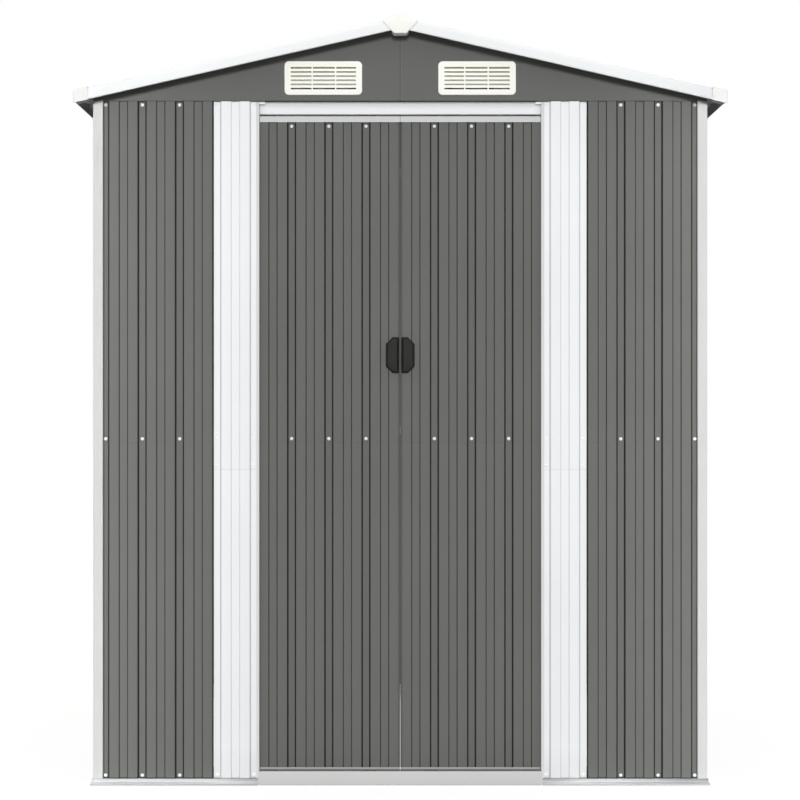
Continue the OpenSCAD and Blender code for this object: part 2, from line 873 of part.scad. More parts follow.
module half_octagon(inset) {
  side = handle_h / 2 - inset;
  wide = handle_w - inset;
  polygon([[inset, -side], [handle_w - handle_cut, -side], [wide, -handle_h / 2 + handle_cut],
    [wide, handle_h / 2 - handle_cut], [handle_w - handle_cut, side], [inset, side]]);
}
module door_handle() {
  face_y = -frame_y + door_set;
  skin_y = 0.2;
  translate([door_gap / 2 + handle_edge, face_y, handle_z]) {
    along_y(-handle_base, 0)
      half_octagon(0);
    hull() {
      along_y(-handle_base - skin_y, -handle_base)
        half_octagon(0);
      along_y(-handle_out, -handle_out + skin_y)
        half_octagon(handle_bevel);
    }
  }
}
module runner_bar(u, length, n_half, z0, z1) {
  bar(door_gap / 2 + u - length / 2, door_gap / 2 + u + length / 2, -door_mid - n_half,
    -door_mid + n_half, z0, z1);
}
module door_hanger(u) {
  shoe_z = track_low + rail_t + slide_clear;
  runner_bar(u, hanger_l, hanger_t / 2, door_top, shoe_z + shoe_h);
  runner_bar(u, shoe_l, track_slot / 2 + shoe_reach, shoe_z, shoe_z + shoe_h);
}
module door_guide(u) {
  slot_half = guide_t / 2 + slide_clear;
  difference() {
    runner_bar(u, hanger_l, slot_half + guide_leg, door_low - guide_drop, door_low);
    runner_bar(u, 2 * hanger_l, slot_half, 0, guide_top + slide_clear);
  }
}
module door_runners() {
  at_front()
    for (u = hanger_at) {
      door_hanger(u);
      door_guide(u);
    }
}
module left_door_panels() {
  color("dimgray")
    mirror([1, 0, 0])
      door_panels();
}
module left_door_rails() {
  color("lightgray")
    mirror([1, 0, 0])
      door_rails();
}
module left_door_handle() {
  color("black")
    mirror([1, 0, 0])
      door_handle();
}
module left_door_runners() {
  color("darkslategray")
    mirror([1, 0, 0])
      door_runners();
}
module right_door_panels() {
  color("dimgray")
    door_panels();
}
module right_door_rails() {
  color("lightgray")
    door_rails();
}
module right_door_handle() {
  color("black")
    door_handle();
}
module right_door_runners() {
  color("darkslategray")
    door_runners();
}

front_base_rail();
left_base_rail();
right_base_rail();
rear_base_rail();
door_sill();
door_floor_track();
front_corner_posts();
rear_corner_posts();
front_panels_lower();
front_panels_upper();
jamb_panels_lower();
jamb_panels_upper();
door_jambs();
left_wall_lower();
left_wall_upper();
right_wall_lower();
right_wall_upper();
rear_wall_lower();
rear_wall_upper();
door_header_track();
side_top_rails();
rear_top_rail();
wall_mid_rails();
front_gables();
rear_gables();
front_vents();
rear_vents();
left_roof_sheet();
right_roof_sheet();
roof_purlins();
ridge_cap();
ridge_end_caps();
front_verge_trims();
rear_verge_trims();
eave_trims();
roof_corner_caps();
left_door_panels();
left_door_rails();
left_door_handle();
left_door_runners();
right_door_panels();
right_door_rails();
right_door_handle();
right_door_runners();
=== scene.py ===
import json
from math import cos, pi, radians, sin, tan

import bpy
import numpy as np
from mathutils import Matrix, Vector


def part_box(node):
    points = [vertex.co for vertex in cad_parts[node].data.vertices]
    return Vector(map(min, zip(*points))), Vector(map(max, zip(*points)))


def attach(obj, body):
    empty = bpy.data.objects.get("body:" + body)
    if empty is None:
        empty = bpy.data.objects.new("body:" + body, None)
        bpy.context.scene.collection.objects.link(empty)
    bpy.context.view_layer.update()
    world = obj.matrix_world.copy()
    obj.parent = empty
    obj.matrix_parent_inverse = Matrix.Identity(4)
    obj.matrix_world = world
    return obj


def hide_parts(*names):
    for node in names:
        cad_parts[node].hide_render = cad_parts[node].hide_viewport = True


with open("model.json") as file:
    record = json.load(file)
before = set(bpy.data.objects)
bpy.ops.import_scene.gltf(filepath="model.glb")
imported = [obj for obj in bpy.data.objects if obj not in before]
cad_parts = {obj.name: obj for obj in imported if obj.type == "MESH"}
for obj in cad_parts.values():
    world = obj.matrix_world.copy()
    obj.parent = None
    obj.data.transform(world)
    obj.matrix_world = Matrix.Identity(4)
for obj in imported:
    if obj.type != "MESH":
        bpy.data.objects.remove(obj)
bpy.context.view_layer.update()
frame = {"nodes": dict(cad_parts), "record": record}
mm = 0.001
tiny = 1e-9   # smallest length to divide by
print("frame loaded,", len(frame["nodes"]), "nodes")

# sizes that the pieces share, read from the frame
sheetGap, gableGap = 0.3 * mm, 0.6 * mm       # from a joint's middle to the sheet or gable beside it
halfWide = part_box("front_corner_posts")[1].x
halfDeep = -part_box("front_corner_posts")[0].y
frameX = -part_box("left_wall_lower")[1].x      # plane that the side sheets are screwed to
frameY = -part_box("front_panels_lower")[1].y   # the same at the front and rear
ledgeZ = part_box("front_panels_lower")[0].z
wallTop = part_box("front_panels_upper")[1].z
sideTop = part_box("left_wall_upper")[1].z
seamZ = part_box("front_panels_lower")[1].z + sheetGap
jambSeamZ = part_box("jamb_panels_lower")[1].z + sheetGap
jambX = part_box("door_sill")[1].x
vergeY = -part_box("front_verge_trims")[0].y
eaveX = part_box("eave_trims")[1].x
roofPitch = radians(12.75)
roofSlope = tan(roofPitch)
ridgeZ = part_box("front_gables")[1].z + gableGap * roofSlope


# a dictionary of sizes, given in millimetres and kept in metres
def sized(**sizes):
    return {key: value * mm for key, value in sizes.items()}


# height of a line that runs n above the underside of the roof sheets, at x from the ridge
def roofLine(x, n):
    return ridgeZ - roofSlope * x + n / cos(roofPitch)


# colours and materials


# sRGB hex to the linear colour that Blender's sockets hold
def hexColour(code):
    part = np.array([int(code[i:i + 2], 16) for i in (1, 3, 5)]) / 255
    linear = np.where(part <= 0.04045, part / 12.92, ((part + 0.055) / 1.055) ** 2.4)
    return (*linear.tolist(), 1.0)


# adds one node, sets its options and fills its inputs with values or links
def addNode(tree, kind, inputs=None, **options):
    node = tree.nodes.new(kind)
    for name, value in options.items():
        setattr(node, name, value)
    for key, value in (inputs or {}).items():
        if isinstance(value, bpy.types.NodeSocket):
            tree.links.new(value, node.inputs[key])
        else:
            node.inputs[key].default_value = value
    return node


def mixColour(tree, share, first, second):
    return addNode(tree, "ShaderNodeMix", {0: share, 6: first, 7: second}, data_type="RGBA").outputs[2]


def combine(tree, operation, first, second):
    return addNode(tree, "ShaderNodeMath", {0: first, 1: second}, operation=operation).outputs[0]


def mapRange(tree, value, low, high, **limits):
    return addNode(tree, "ShaderNodeMapRange",
                   {"Value": value, "To Min": low, "To Max": high, **limits}).outputs["Result"]


# a coated or moulded surface: mottled colour, uneven gloss and a fine bump, all sized in millimetres;
# the shade attribute is painted shade: it draws the colour towards a deeper tone where shade should fall,
# and below nothing it draws it towards the colour of the back, where there is one
noiseDetail = dict(cloudMm=3.0, grainMm=2.0)


def makeFinish(look):
    material = bpy.data.materials.new(look["name"])
    material.use_nodes = True
    tree = material.node_tree
    shader = tree.nodes["Principled BSDF"]
    place = addNode(tree, "ShaderNodeTexCoord").outputs["Object"]
    cloud, grain = [addNode(tree, "ShaderNodeTexNoise", {"Vector": place, "Scale": 1 / (look[size] * mm),
                                                         "Detail": detail}).outputs["Fac"]
                    for size, detail in noiseDetail.items()]
    shade = addNode(tree, "ShaderNodeAttribute", attribute_name="shade").outputs["Fac"]
    tone = mixColour(tree, cloud, hexColour(look["dark"]), hexColour(look["light"]))
    deeper = mixColour(tree, shade, tone, hexColour(look["deep"]))
    back = hexColour(look.get("back", look["deep"]))
    colour = mixColour(tree, combine(tree, "MULTIPLY", shade, -1.0), deeper, back)
    gloss = mapRange(tree, grain, look["rough"] - look["roughSpan"], look["rough"] + look["roughSpan"])
    bump = addNode(tree, "ShaderNodeBump",
                   {"Height": grain, "Strength": look["bump"], "Distance": look["bumpMm"] * mm})
    sockets = {"Base Color": colour, "Roughness": gloss, "Normal": bump.outputs["Normal"]}
    if "glow" in look:
        height = addNode(tree, "ShaderNodeSeparateXYZ", {0: place}).outputs["Z"]
        limits = {"From Min": look["glowLow"], "From Max": look["glowHigh"]}
        sockets["Emission Color"] = colour
        sockets["Emission Strength"] = mapRange(tree, height, *look["glow"], **limits)
    for key, socket in sockets.items():
        tree.links.new(socket, shader.inputs[key])
    shader.inputs["Metallic"].default_value = look["metal"]
    shader.inputs["Specular IOR Level"].default_value = look["specular"]
    return material


greySteel, whiteSteel, lightSteel = "grey_painted_steel", "white_painted_steel", "light_grey_painted_steel"
creamSlot, blackSlot = "off_white_plastic", "black_plastic"
paint = dict(cloudMm=420, grainMm=2.6, rough=0.65, roughSpan=0.05, bump=0.12, bumpMm=0.25, metal=0.0,
             specular=0.25)
# in each look, deep is the tone that painted shade draws a colour towards, and back the one that a negative
# shade draws it towards: on the grey sheets a pale back coat, on the cream caps painted shade
looks = {
    # polyester paint baked on roll-formed steel: even satin colour with a faint orange peel
    greySteel: dict(paint, name="greyPolyesterPaint", dark="#636461", light="#6A6B68", deep="#090908",
                    back="#EAEAE8", rough=0.7),
    whiteSteel: dict(paint, name="whitePolyesterPaint", dark="#F1F3F4", light="#F9FBFC", deep="#8E9091"),
    lightSteel: dict(paint, name="lightGreyPolyesterPaint", dark="#CFD0CF", light="#D5D6D5", deep="#6A6B6A",
                     cloudMm=300),
    # hot-dip zinc on the inner rails: dull grey metal with soft spangle
    "galvanised_steel": dict(name="hotDipZinc", dark="#7E8081", light="#9A9C9D", deep="#5A5C5D", cloudMm=14,
                             grainMm=4.0, rough=0.48, roughSpan=0.08, bump=0.08, bumpMm=0.2, metal=1.0,
                             specular=0.5),
    # injection-moulded polypropylene, creamy white, with a fine spark-eroded grain
    creamSlot: dict(paint, name="creamPolypropylene", dark="#F9F9F2", light="#FDFDF7", deep="#B4B489",
                    back="#88888D", cloudMm=60, grainMm=1.2, roughSpan=0.06, bump=0.15, bumpMm=0.15,
                    specular=0.5),
    # moulded ABS of the handles: near black, fine matt grain
    blackSlot: dict(paint, name="blackAbs", dark="#1B1B1A", light="#20201F", deep="#0E0E0E", cloudMm=40,
                    grainMm=1.0, rough=0.7, roughSpan=0.06, bump=0.2, bumpMm=0.15),
    # acetal runners: dark grey, slightly waxy
    "runner_plastic": dict(paint, name="greyAcetal", dark="#3C3D3D", light="#464747", deep="#1E1E1E",
                           cloudMm=30, grainMm=1.0, rough=0.5, bump=0.1, bumpMm=0.1, specular=0.4),
}
finishes = {slotName: makeFinish(look) for slotName, look in looks.items()}
# the vents glow a little, most at the top: painted light that lifts the shade the verge casts on them;
# their deep tone is the olive of the painted shade in the slots
ventFinish = makeFinish(dict(looks[creamSlot], name="creamPolypropylenePaintedGlow", deep="#8A8A5E",
                             glow=(0.0, 0.13), glowLow=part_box("front_vents")[0].z,
                             glowHigh=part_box("front_vents")[1].z))
for entry in frame["record"]["subparts"]:
    nodeMesh = frame["nodes"][entry["node"]].data
    nodeMesh.materials.clear()
    nodeMesh.materials.append(finishes[entry["material_slot"]])
print("materials ready,", len(finishes))


# shapes that the pieces share


# open line with an arc in place of each inner corner: the arc touches both neighbours, so its
# tangent length is radius / tan(half the corner angle), cut short where a side is too short
def roundedLine(points, radius, steps=4, sideShare=0.48):
    p = np.asarray(points, float)
    corner = p[1:-1]
    back, ahead = p[:-2] - corner, p[2:] - corner
    backLength = np.linalg.norm(back, axis=1, keepdims=True)
    aheadLength = np.linalg.norm(ahead, axis=1, keepdims=True)
    back, ahead = back / backLength, ahead / aheadLength
    half = 0.5 * np.arccos(np.clip((back * ahead).sum(1, keepdims=True), -1, 1))
    wanted = np.broadcast_to(np.asarray(radius, float).reshape(-1, 1), half.shape)
    cut = np.minimum(wanted / np.tan(half), sideShare * np.minimum(backLength, aheadLength))
    middle = back + ahead
    middle = middle / np.maximum(np.linalg.norm(middle, axis=1, keepdims=True), tiny)
    centre = corner + middle * cut / np.cos(half)
    start = corner + back * cut - centre
    turn = np.sign(back[:, :1] * ahead[:, 1:] - back[:, 1:] * ahead[:, :1])
    angle = -turn * (pi - 2 * half) * np.linspace(0, 1, steps + 1)[None, :]
    arcX = centre[:, :1] + start[:, :1] * np.cos(angle) - start[:, 1:] * np.sin(angle)
    arcY = centre[:, 1:] + start[:, :1] * np.sin(angle) + start[:, 1:] * np.cos(angle)
    arcs = np.stack([arcX, arcY], -1).reshape(-1, 2)
    return np.vstack([p[:1], arcs, p[-1:]])


# closed outline with rounded corners
def roundedOutline(outline, radius):
    return roundedLine(np.vstack([outline[-1:], outline, outline[:1]]), radius)[1:-1]


# loop round a sheet: the line itself, then the same line moved to its right by the thickness
def sheetLoop(line, thickness):
    step = np.diff(line, axis=0)
    step = step / np.maximum(np.linalg.norm(step, axis=1, keepdims=True), tiny)
    along = np.vstack([step[:1], step[:-1] + step[1:], step[-1:]])
    along = along / np.linalg.norm(along, axis=1, keepdims=True)
    right = np.column_stack([along[:, 1], -along[:, 0]])
    return np.vstack([line, (line + right * thickness)[::-1]])


# point numbers of a grid of loops, the next point's number round each loop, and the quads between rows
def gridQuads(points):
    rows, count = points.shape[:2]
    number = np.arange(rows * count).reshape(rows, count)
    beside = np.roll(number, -1, axis=1)
    return number, beside, np.stack([number[:-1], beside[:-1], beside[1:], number[1:]], -1).reshape(-1, 4)


# closed mesh from a grid of rows of loop points: side quads between rows and a strip over each end
def loopGrid(points):
    rows, count = points.shape[:2]
    sides = gridQuads(points)[2]
    edge = np.arange(count // 2 - 1)
    low = np.stack([edge, count - 1 - edge, count - 2 - edge, edge + 1], -1)
    high = low[:, ::-1] + (rows - 1) * count
    return points.reshape(-1, 3), np.vstack([sides, low, high])


# closed mesh from a grid that joins up both ways, like a ring
def hoopGrid(points):
    number, beside, sides = gridQuads(points)
    join = np.stack([number[-1], beside[-1], beside[0], number[0]], -1)
    return points.reshape(-1, 3), np.vstack([sides, join])


# closed mesh from rings that share one outline: quads between rings and a fan over both ends
def ringGrid(points):
    number, beside, sides = gridQuads(points)
    tips = np.vstack([points[0].mean(0), points[-1].mean(0)])
    first = np.full(number.shape[1], number.size)
    low = np.stack([first, beside[0], number[0], first], -1)
    high = np.stack([first + 1, number[-1], beside[-1], first + 1], -1)
    return np.vstack([points.reshape(-1, 3), tips]), np.vstack([sides, low, high])


# turns a mesh's faces over where they enclose a negative volume
def facedOut(points, faces, shade=None):
    a, b, c, d = (points[faces[:, i]] for i in range(4))
    volume = (np.cross(b - a, c - a) * (a + b + c)).sum() + (np.cross(c - a, d - a) * (a + c + d)).sum()
    return points, faces if volume > 0 else faces[:, ::-1], np.zeros(len(points)) if shade is None else shade


# the same mesh with one shade all over
def shaded(shape, level):
    return shape[0], shape[1], np.full(len(shape[0]), level)


# mirror image of a mesh across a plane through the origin
def mirrored(shape, axis):
    points = shape[0].copy()
    points[:, axis] *= -1
    return points, *shape[1:]


def mirroredAll(shapes, axis):
    return [mirrored(shape, axis) for shape in shapes]


def withMirror(shapes, axis=0):
    return [*shapes, *mirroredAll(shapes, axis)]


def addObject(name, data):
    thing = bpy.data.objects.new(name, data)
    bpy.context.scene.collection.objects.link(thing)
    return thing


# one Blender object from several closed shapes, riding on a body in place of CAD nodes
def makePiece(name, shapes, slotName, body="shed", nodes=(), finish=None, sharpAngle=38):
    parts = [facedOut(*shape) for shape in shapes]
    starts = np.cumsum([0] + [len(part[0]) for part in parts[:-1]])
    points = np.vstack([part[0] for part in parts])
    faces = np.vstack([part[1] + start for part, start in zip(parts, starts)])
    shade = np.concatenate([part[2] for part in parts])
    threeCornered = (faces[:, 0] == faces[:, 3]) | (faces[:, 2] == faces[:, 3])
    lists = [face[:3] if three else face for face, three in zip(faces.tolist(), threeCornered.tolist())]
    mesh = bpy.data.meshes.new(name)
    mesh.from_pydata(points.tolist(), [], lists)
    mesh.polygons.foreach_set("use_smooth", np.ones(len(lists), bool))
    mesh.set_sharp_from_angle(angle=radians(sharpAngle))
    mesh.validate()
    if shade.any():
        mesh.attributes.new("shade", "FLOAT", "POINT").data.foreach_set("value", shade.astype(np.float32))
    mesh.materials.append(finish or finishes[slotName])
    piece = addObject(name, mesh)
    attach(piece, body)
    if nodes:
        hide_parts(*nodes)


# folded sheet: a rounded line with thickness, drawn out along stations, put in place by a function
# that turns line coordinates a, b and the way along s into x, y and z
def foldedStrip(line, radius, thickness, stations, place, steps=4):
    loop = sheetLoop(roundedLine(line, radius, steps), thickness)
    a, b = loop[None, :, 0], loop[None, :, 1]
    s = np.asarray(stations, float)[:, None]
    x, y, z = np.broadcast_arrays(*place(a + 0 * s, b + 0 * s, s + 0 * a))
    return loopGrid(np.stack([x, y, z], -1))


# ways to place a strip, named after the way in which it is drawn out or lies
def alongDoor(n, z, s):
    return s, -frameY - n, z


def alongDepth(x, z, y):
    return x, y, z


def acrossGable(y, z, x):
    return x, y, z


def upward(x, y, z):
    return x, y, z


def alongSlope(x, n, y):
    return x, y, roofLine(x, n)


# ribbed wall, door and roof sheets
ribForm = sized(pitch=110, valleyFloor=18.7, valleySide=4, valleyDepth=8, stripFloor=21.8, stripSide=2.5,
                stripDepth=3.5, bend=1.6, thickness=0.8, crest=9, cornerGap=0.2, rowStep=90, wave=0.35,
                lap=0.9, lapHeight=16, endWide=7, endFade=1, edgeTall=3) | dict(
    bendSteps=3, longWave=(9.1, 3.7), shortWave=(17.3, -6.1), shortShare=0.6, shortPhase=2.3, lapSlope=0.4,
    lapRows=(0.8, 0.6, 0.4, 0.2, 0.0), flat=0.22, steep=0.66, edgeFade=0.4, shadeHeights=(0, 0.1, wallTop))


# corners of the outer face: at each valley four points go down to the floor and up again,
# and halfway to the next valley four more make the shallow strip
def ribCorners(centres, u0, u1):
    centres = np.asarray(centres, float)
    halves = (centres[:-1] + centres[1:]) / 2
    u, n = [], []
    for middles, kind in ((centres, "valley"), (halves, "strip")):
        floor, side = ribForm[kind + "Floor"] / 2, ribForm[kind + "Side"]
        u.append(np.ravel(middles[:, None] + np.array([-floor - side, -floor, floor, floor + side])))
        n.append(np.tile(ribForm["crest"] - ribForm[kind + "Depth"] * np.array([0, 1, 1, 0]), len(middles)))
    order = np.argsort(np.concatenate(u))
    u, n = np.concatenate(u)[order], np.concatenate(n)[order]
    ends = np.interp([u0, u1], u, n)
    inside = (u > u0 + ribForm["cornerGap"]) & (u < u1 - ribForm["cornerGap"])
    return np.column_stack([np.r_[u0, u[inside], u1], np.r_[ends[0], n[inside], ends[1]]])


# valley centres at even steps of about one pitch
def spread(u0, u1):
    count = max(1, round((u1 - u0) / ribForm["pitch"]))
    return np.linspace(u0, u1, count + 1)


# heights of the rows of a sheet: even steps, close ones at both edges and where it slips under the sheet
# above
def sheetRows(low, high, lapped, edgeTall):
    rows = np.linspace(low, high, max(2, round((high - low) / ribForm["rowStep"])) + 1)
    close = edgeTall * np.array([1 - ribForm["edgeFade"], 1.0])
    rows = np.unique(np.r_[rows, low + close, high - close])
    if lapped:
        tuck = high - ribForm["lapHeight"] * np.array(ribForm["lapRows"])
        rows = np.unique(np.r_[rows[rows < high - ribForm["lapHeight"]], tuck])
    return rows


# ribbed sheet: the rounded rib line carried up the rows, pushed in and out by a slow wave that is
# nothing at the ends, and stepped back where the sheet above laps over it; painted shade follows the slope of
# the rib line from shadeFrom on, darkens the end by endShade and the lower edge by foot, and a painted
# shade that changes with height is added
def ribbedSheet(corners, low, high, place, lapped=False, phase=0.0, foot=0.0, edgeTall=ribForm["edgeTall"],
                shadeFrom=-np.inf, endShade=0.0, ribShade=1.0, heightShade=(0.0, 0.0, 0.0)):
    line = roundedLine(corners, ribForm["bend"], ribForm["bendSteps"])
    if endShade:
        ends = line[0, 0] + ribForm["endWide"] + np.array([0, ribForm["endFade"]])
        added = np.column_stack([ends, np.interp(ends, line[:2, 0], line[:2, 1])])
        line = np.vstack([line[:1], added, line[1:]])
    loop = sheetLoop(line, ribForm["thickness"])
    slope = np.gradient(line[:, 1], np.r_[0, np.cumsum(np.hypot(*np.diff(line, axis=0).T))])
    rows = sheetRows(low, high, lapped, edgeTall)
    u, s = loop[None, :, 0], rows[:, None]
    part = (s - low) / (high - low)
    longWave, shortWave = ribForm["longWave"], ribForm["shortWave"]
    wave = np.sin(longWave[0] * u + longWave[1] * s + phase) + ribForm["shortShare"] * np.sin(
        shortWave[0] * u + shortWave[1] * s + ribForm["shortPhase"] * phase)
    push = 0.5 * ribForm["wave"] * wave * np.sin(pi * part)
    if lapped:
        tuck = np.clip((s - high + ribForm["lapHeight"]) / (ribForm["lapSlope"] * ribForm["lapHeight"]), 0, 1)
        push = push - ribForm["lap"] * tuck * tuck * (3 - 2 * tuck)
    x, y, z = np.broadcast_arrays(*place(u + 0 * s, loop[None, :, 1] + push, s + 0 * u))
    steep = np.clip((np.abs(np.r_[slope, slope[::-1]]) - ribForm["flat"]) / ribForm["steep"], 0, 1)
    rib = ribShade * steep * (loop[:, 0] > shadeFrom)
    atEnd = loop[:, 0] < line[0, 0] + ribForm["endWide"] + ribForm["endFade"] / 2
    rib = np.where(atEnd, np.maximum(rib, endShade), rib)
    edge = foot * np.clip((low + edgeTall - rows) / (ribForm["edgeFade"] * edgeTall), 0, 1)
    # painted shade that changes with height
    heightShading = np.interp(rows, ribForm["shadeHeights"], heightShade)
    shade = np.maximum(rib[None, :], edge[:, None]) + heightShading[:, None]
    return *loopGrid(np.stack([x, y, z], -1)), shade.ravel()


# ways to place a sheet: u along the wall, n outward, s upward
def onFront(u, n, s):
    return u, -frameY - n, s


def onRear(u, n, s):
    return -u, frameY + n, s


def onLeft(u, n, s):
    return -frameX - n, -u, s


def onRight(u, n, s):
    return frameX + n, u, s


def onRoof(u, n, s):
    return s * cos(roofPitch) + n * sin(roofPitch), u, ridgeZ - s * sin(roofPitch) + n * cos(roofPitch)


wallForm = sized(cornerValley=34, jambValley=14.6, jambCover=6, seamEdge=1.5) | dict(upperPhase=1.7)
# painted shade of the wall sheets: lines at the foot and the seam, a dark end beside the corner post, and on
# the white sheets an even painted shade that deepens towards the foot
wallShade = {greySteel: dict(foot=0.95, seam=0.12, sheet=dict(endShade=0.55)),
             whiteSteel: dict(foot=0.42, seam=0.27, sheet=dict(ribShade=0.28, heightShade=(0.32, 0.155, 0.06)))}
frontValleys = spread(-halfWide + wallForm["cornerValley"], -jambX - wallForm["jambValley"])
sideValleys = spread(-halfDeep + wallForm["cornerValley"], halfDeep - wallForm["cornerValley"])
rearValleys = spread(-halfWide + wallForm["cornerValley"], halfWide - wallForm["cornerValley"])
halfFloor = ribForm["valleyFloor"] / 2
whiteEdge = frontValleys[-2] - halfFloor
lapTop = ribForm["lapHeight"]


# a lower sheet that reaches up behind the upper one, and the upper sheet, which stops at the seam; the
# sheets run from valley to valley or over the span given, and with two sides they are mirrored
def wallPair(name, slotName, centres, seam, top, place, phase, span=None, sides=1):
    shade = wallShade[slotName]
    corners = ribCorners(centres, *(span or (centres[0] - halfFloor, centres[-1] + halfFloor)))
    lower = ribbedSheet(corners, ledgeZ, seam + lapTop, place, True, phase, shade["foot"], **shade["sheet"])
    upper = ribbedSheet(corners, seam, top, place, False, phase + wallForm["upperPhase"], shade["seam"],
                        wallForm["seamEdge"], **shade["sheet"])
    for node, sheet in ((name + "_lower", lower), (name + "_upper", upper)):
        makePiece(node + "_sheet", withMirror([sheet])[:sides], slotName, nodes=[node])


greySpan = frontValleys[0] - halfFloor, whiteEdge - sheetGap
whiteSpan = whiteEdge + sheetGap, -jambX - wallForm["jambCover"]
wallPair("front_panels", greySteel, frontValleys, seamZ, wallTop, onFront, phase=0.4, span=greySpan, sides=2)
wallPair("jamb_panels", whiteSteel, frontValleys, jambSeamZ, wallTop, onFront, phase=2.1, span=whiteSpan,
         sides=2)
wallPair("left_wall", greySteel, sideValleys, seamZ, sideTop, onLeft, phase=3.3)
wallPair("right_wall", greySteel, sideValleys, seamZ, sideTop, onRight, phase=4.6)
wallPair("rear_wall", greySteel, rearValleys, seamZ, wallTop, onRear, phase=5.2)
print("wall sheets made")

roofForm = sized(inset=5, ridgeOpen=4, endGap=3, flangeMid=5, paleIn=40) | dict(phase=1.1)
roofValleys = spread(-frameY + roofForm["flangeMid"], frameY - roofForm["flangeMid"])
roofEnd = (eaveX - roofForm["endGap"] - ribForm["crest"] * sin(roofPitch)) / cos(roofPitch)
roofCorners = ribCorners(roofValleys, -vergeY + roofForm["inset"], vergeY - roofForm["inset"])
roofPoints, roofFaces, roofShade = ribbedSheet(roofCorners, roofForm["ridgeOpen"], roofEnd, onRoof,
                                               phase=roofForm["phase"])
# the second half of each row is the underside; under the eaves it is drawn to a pale back coat, partly
# the sheet's back coat and partly painted light that lifts the shade there
roofRow = len(roofPoints) // len(sheetRows(roofForm["ridgeOpen"], roofEnd, False, ribForm["edgeTall"]))
underside = np.arange(len(roofPoints)) % roofRow >= roofRow // 2
inRoom = np.abs(roofPoints[:, 1]) < frameY
atEave = roofPoints[:, 0] > halfWide - roofForm["paleIn"]
roofSide = roofPoints, roofFaces, np.where(underside & inRoom & atEave, -1.0, roofShade)
makePiece("right_roof_ribs", [roofSide], greySteel, nodes=["right_roof_sheet"])
makePiece("left_roof_ribs", [mirrored(roofSide, 0)], greySteel, nodes=["left_roof_sheet"])
print("roof sheets made")

# sliding doors: sheets, rails and handles of the right door, then the same mirrored for the left
doorForm = sized(set=25, railTop=16.6, railBottom=9, railThickness=1.5, railBend=1.5, brace=41,
                 braceDepth=15, edgeOut=2, edgeWide=6.3, edgeDrop=6.6, edgeBend=2, bevelTall=4.4,
                 bevelBack=2.5, bevelDrop=2) | dict(
    valleys=5, lowerPhase=2.9, upperPhase=0.8, seamShade=0.12, lowShade=0.5, bevelShade=0.8)
doorLow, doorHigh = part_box("right_door_rails")
doorEdge, doorEnd = doorLow.x, doorHigh.x
doorBack = doorForm["set"] + ribForm["crest"]
doorInner = doorForm["railThickness"]
firstValley = doorEdge - (ribForm["valleyFloor"] + ribForm["valleySide"]) / 2
doorValleys = firstValley + ribForm["pitch"] * np.arange(doorForm["valleys"])


def onDoor(u, n, s):
    return u, -frameY + doorBack - n, s


# the meeting edge leans back in a bevel and reaches a little into the gap between the doors
meetX = doorEdge - doorForm["edgeOut"]
bevelEnd = meetX + doorForm["edgeWide"]
meetCorner = [[meetX, ribForm["crest"] - doorForm["edgeDrop"]]]
doorCorners = np.vstack([meetCorner, ribCorners(doorValleys, bevelEnd, doorEnd)])
shadeFrom = bevelEnd + doorForm["edgeBend"]
doorSheets = [ribbedSheet(doorCorners, doorLow.z + doorInner, seamZ + lapTop, onDoor, True,
                          doorForm["lowerPhase"], shadeFrom=shadeFrom),
              ribbedSheet(doorCorners, seamZ, doorHigh.z - doorInner, onDoor, False, doorForm["upperPhase"],
                          doorForm["seamShade"], wallForm["seamEdge"], shadeFrom)]
front, rear = -doorForm["set"] + doorInner, -doorBack - doorInner
braceBack = -doorBack - doorForm["braceDepth"]
midLow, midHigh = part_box("wall_mid_rails")[0].z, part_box("wall_mid_rails")[1].z
topLine = [[front, doorHigh.z - doorForm["railTop"]], [front, doorHigh.z], [rear, doorHigh.z],
           [rear, doorHigh.z - doorForm["brace"]]]
# the lower rail leans back below its face, over the sill; painted shade darkens the rail, most of all its
# bevel, for the shadow of the sill
bevelTop = doorLow.z + doorForm["bevelTall"]
lowLine = [[rear, doorLow.z + doorForm["railBottom"]], [rear, doorLow.z],
           [front - doorForm["bevelBack"], doorLow.z - doorForm["bevelDrop"]], [front, bevelTop],
           [front, doorLow.z + doorForm["railBottom"]]]
braceLine = [[braceBack, midLow], [-doorBack, midLow], [-doorBack, midHigh], [braceBack, midHigh]]
railSides = ((topLine, doorInner), (lowLine, -doorInner), (braceLine, -doorInner))
topRail, lowRail, doorBrace = [foldedStrip(line, doorForm["railBend"], side, [meetX, doorEnd], alongDoor)
                               for line, side in railSides]
lowLevel = np.where(lowRail[0][:, 2] < bevelTop, doorForm["bevelShade"], doorForm["lowShade"])
doorRails = [topRail, (*lowRail, lowLevel), doorBrace]

# handle: a half octagon rises straight, then leans in by the bevel and rolls over into a flat face
handleForm = sized(cut=20, cornerRound=2, baseRise=np.array([0, 4, 4.6]), baseInset=np.array([0, 0, 0.5]),
                   faceDrop=np.array([1.4, 0.4, 0]), faceInset=np.array([5.5, 6.0, 7.0]))
handleLow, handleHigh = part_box("right_door_handle")


# half octagon drawn in by an inset, with its corners rounded; 0 inset is the outline on the door
def halfOctagon(inset):
    x0, x1 = handleLow.x + inset, handleHigh.x - inset
    z0, z1 = handleLow.z + inset, handleHigh.z - inset
    cut = handleForm["cut"]
    cutX, cutLow, cutHigh = handleHigh.x - cut, handleLow.z + cut, handleHigh.z - cut
    outline = np.array([[x0, z0], [cutX, z0], [x1, cutLow], [x1, cutHigh], [cutX, z1], [x0, z1]])
    return roundedOutline(outline, handleForm["cornerRound"])


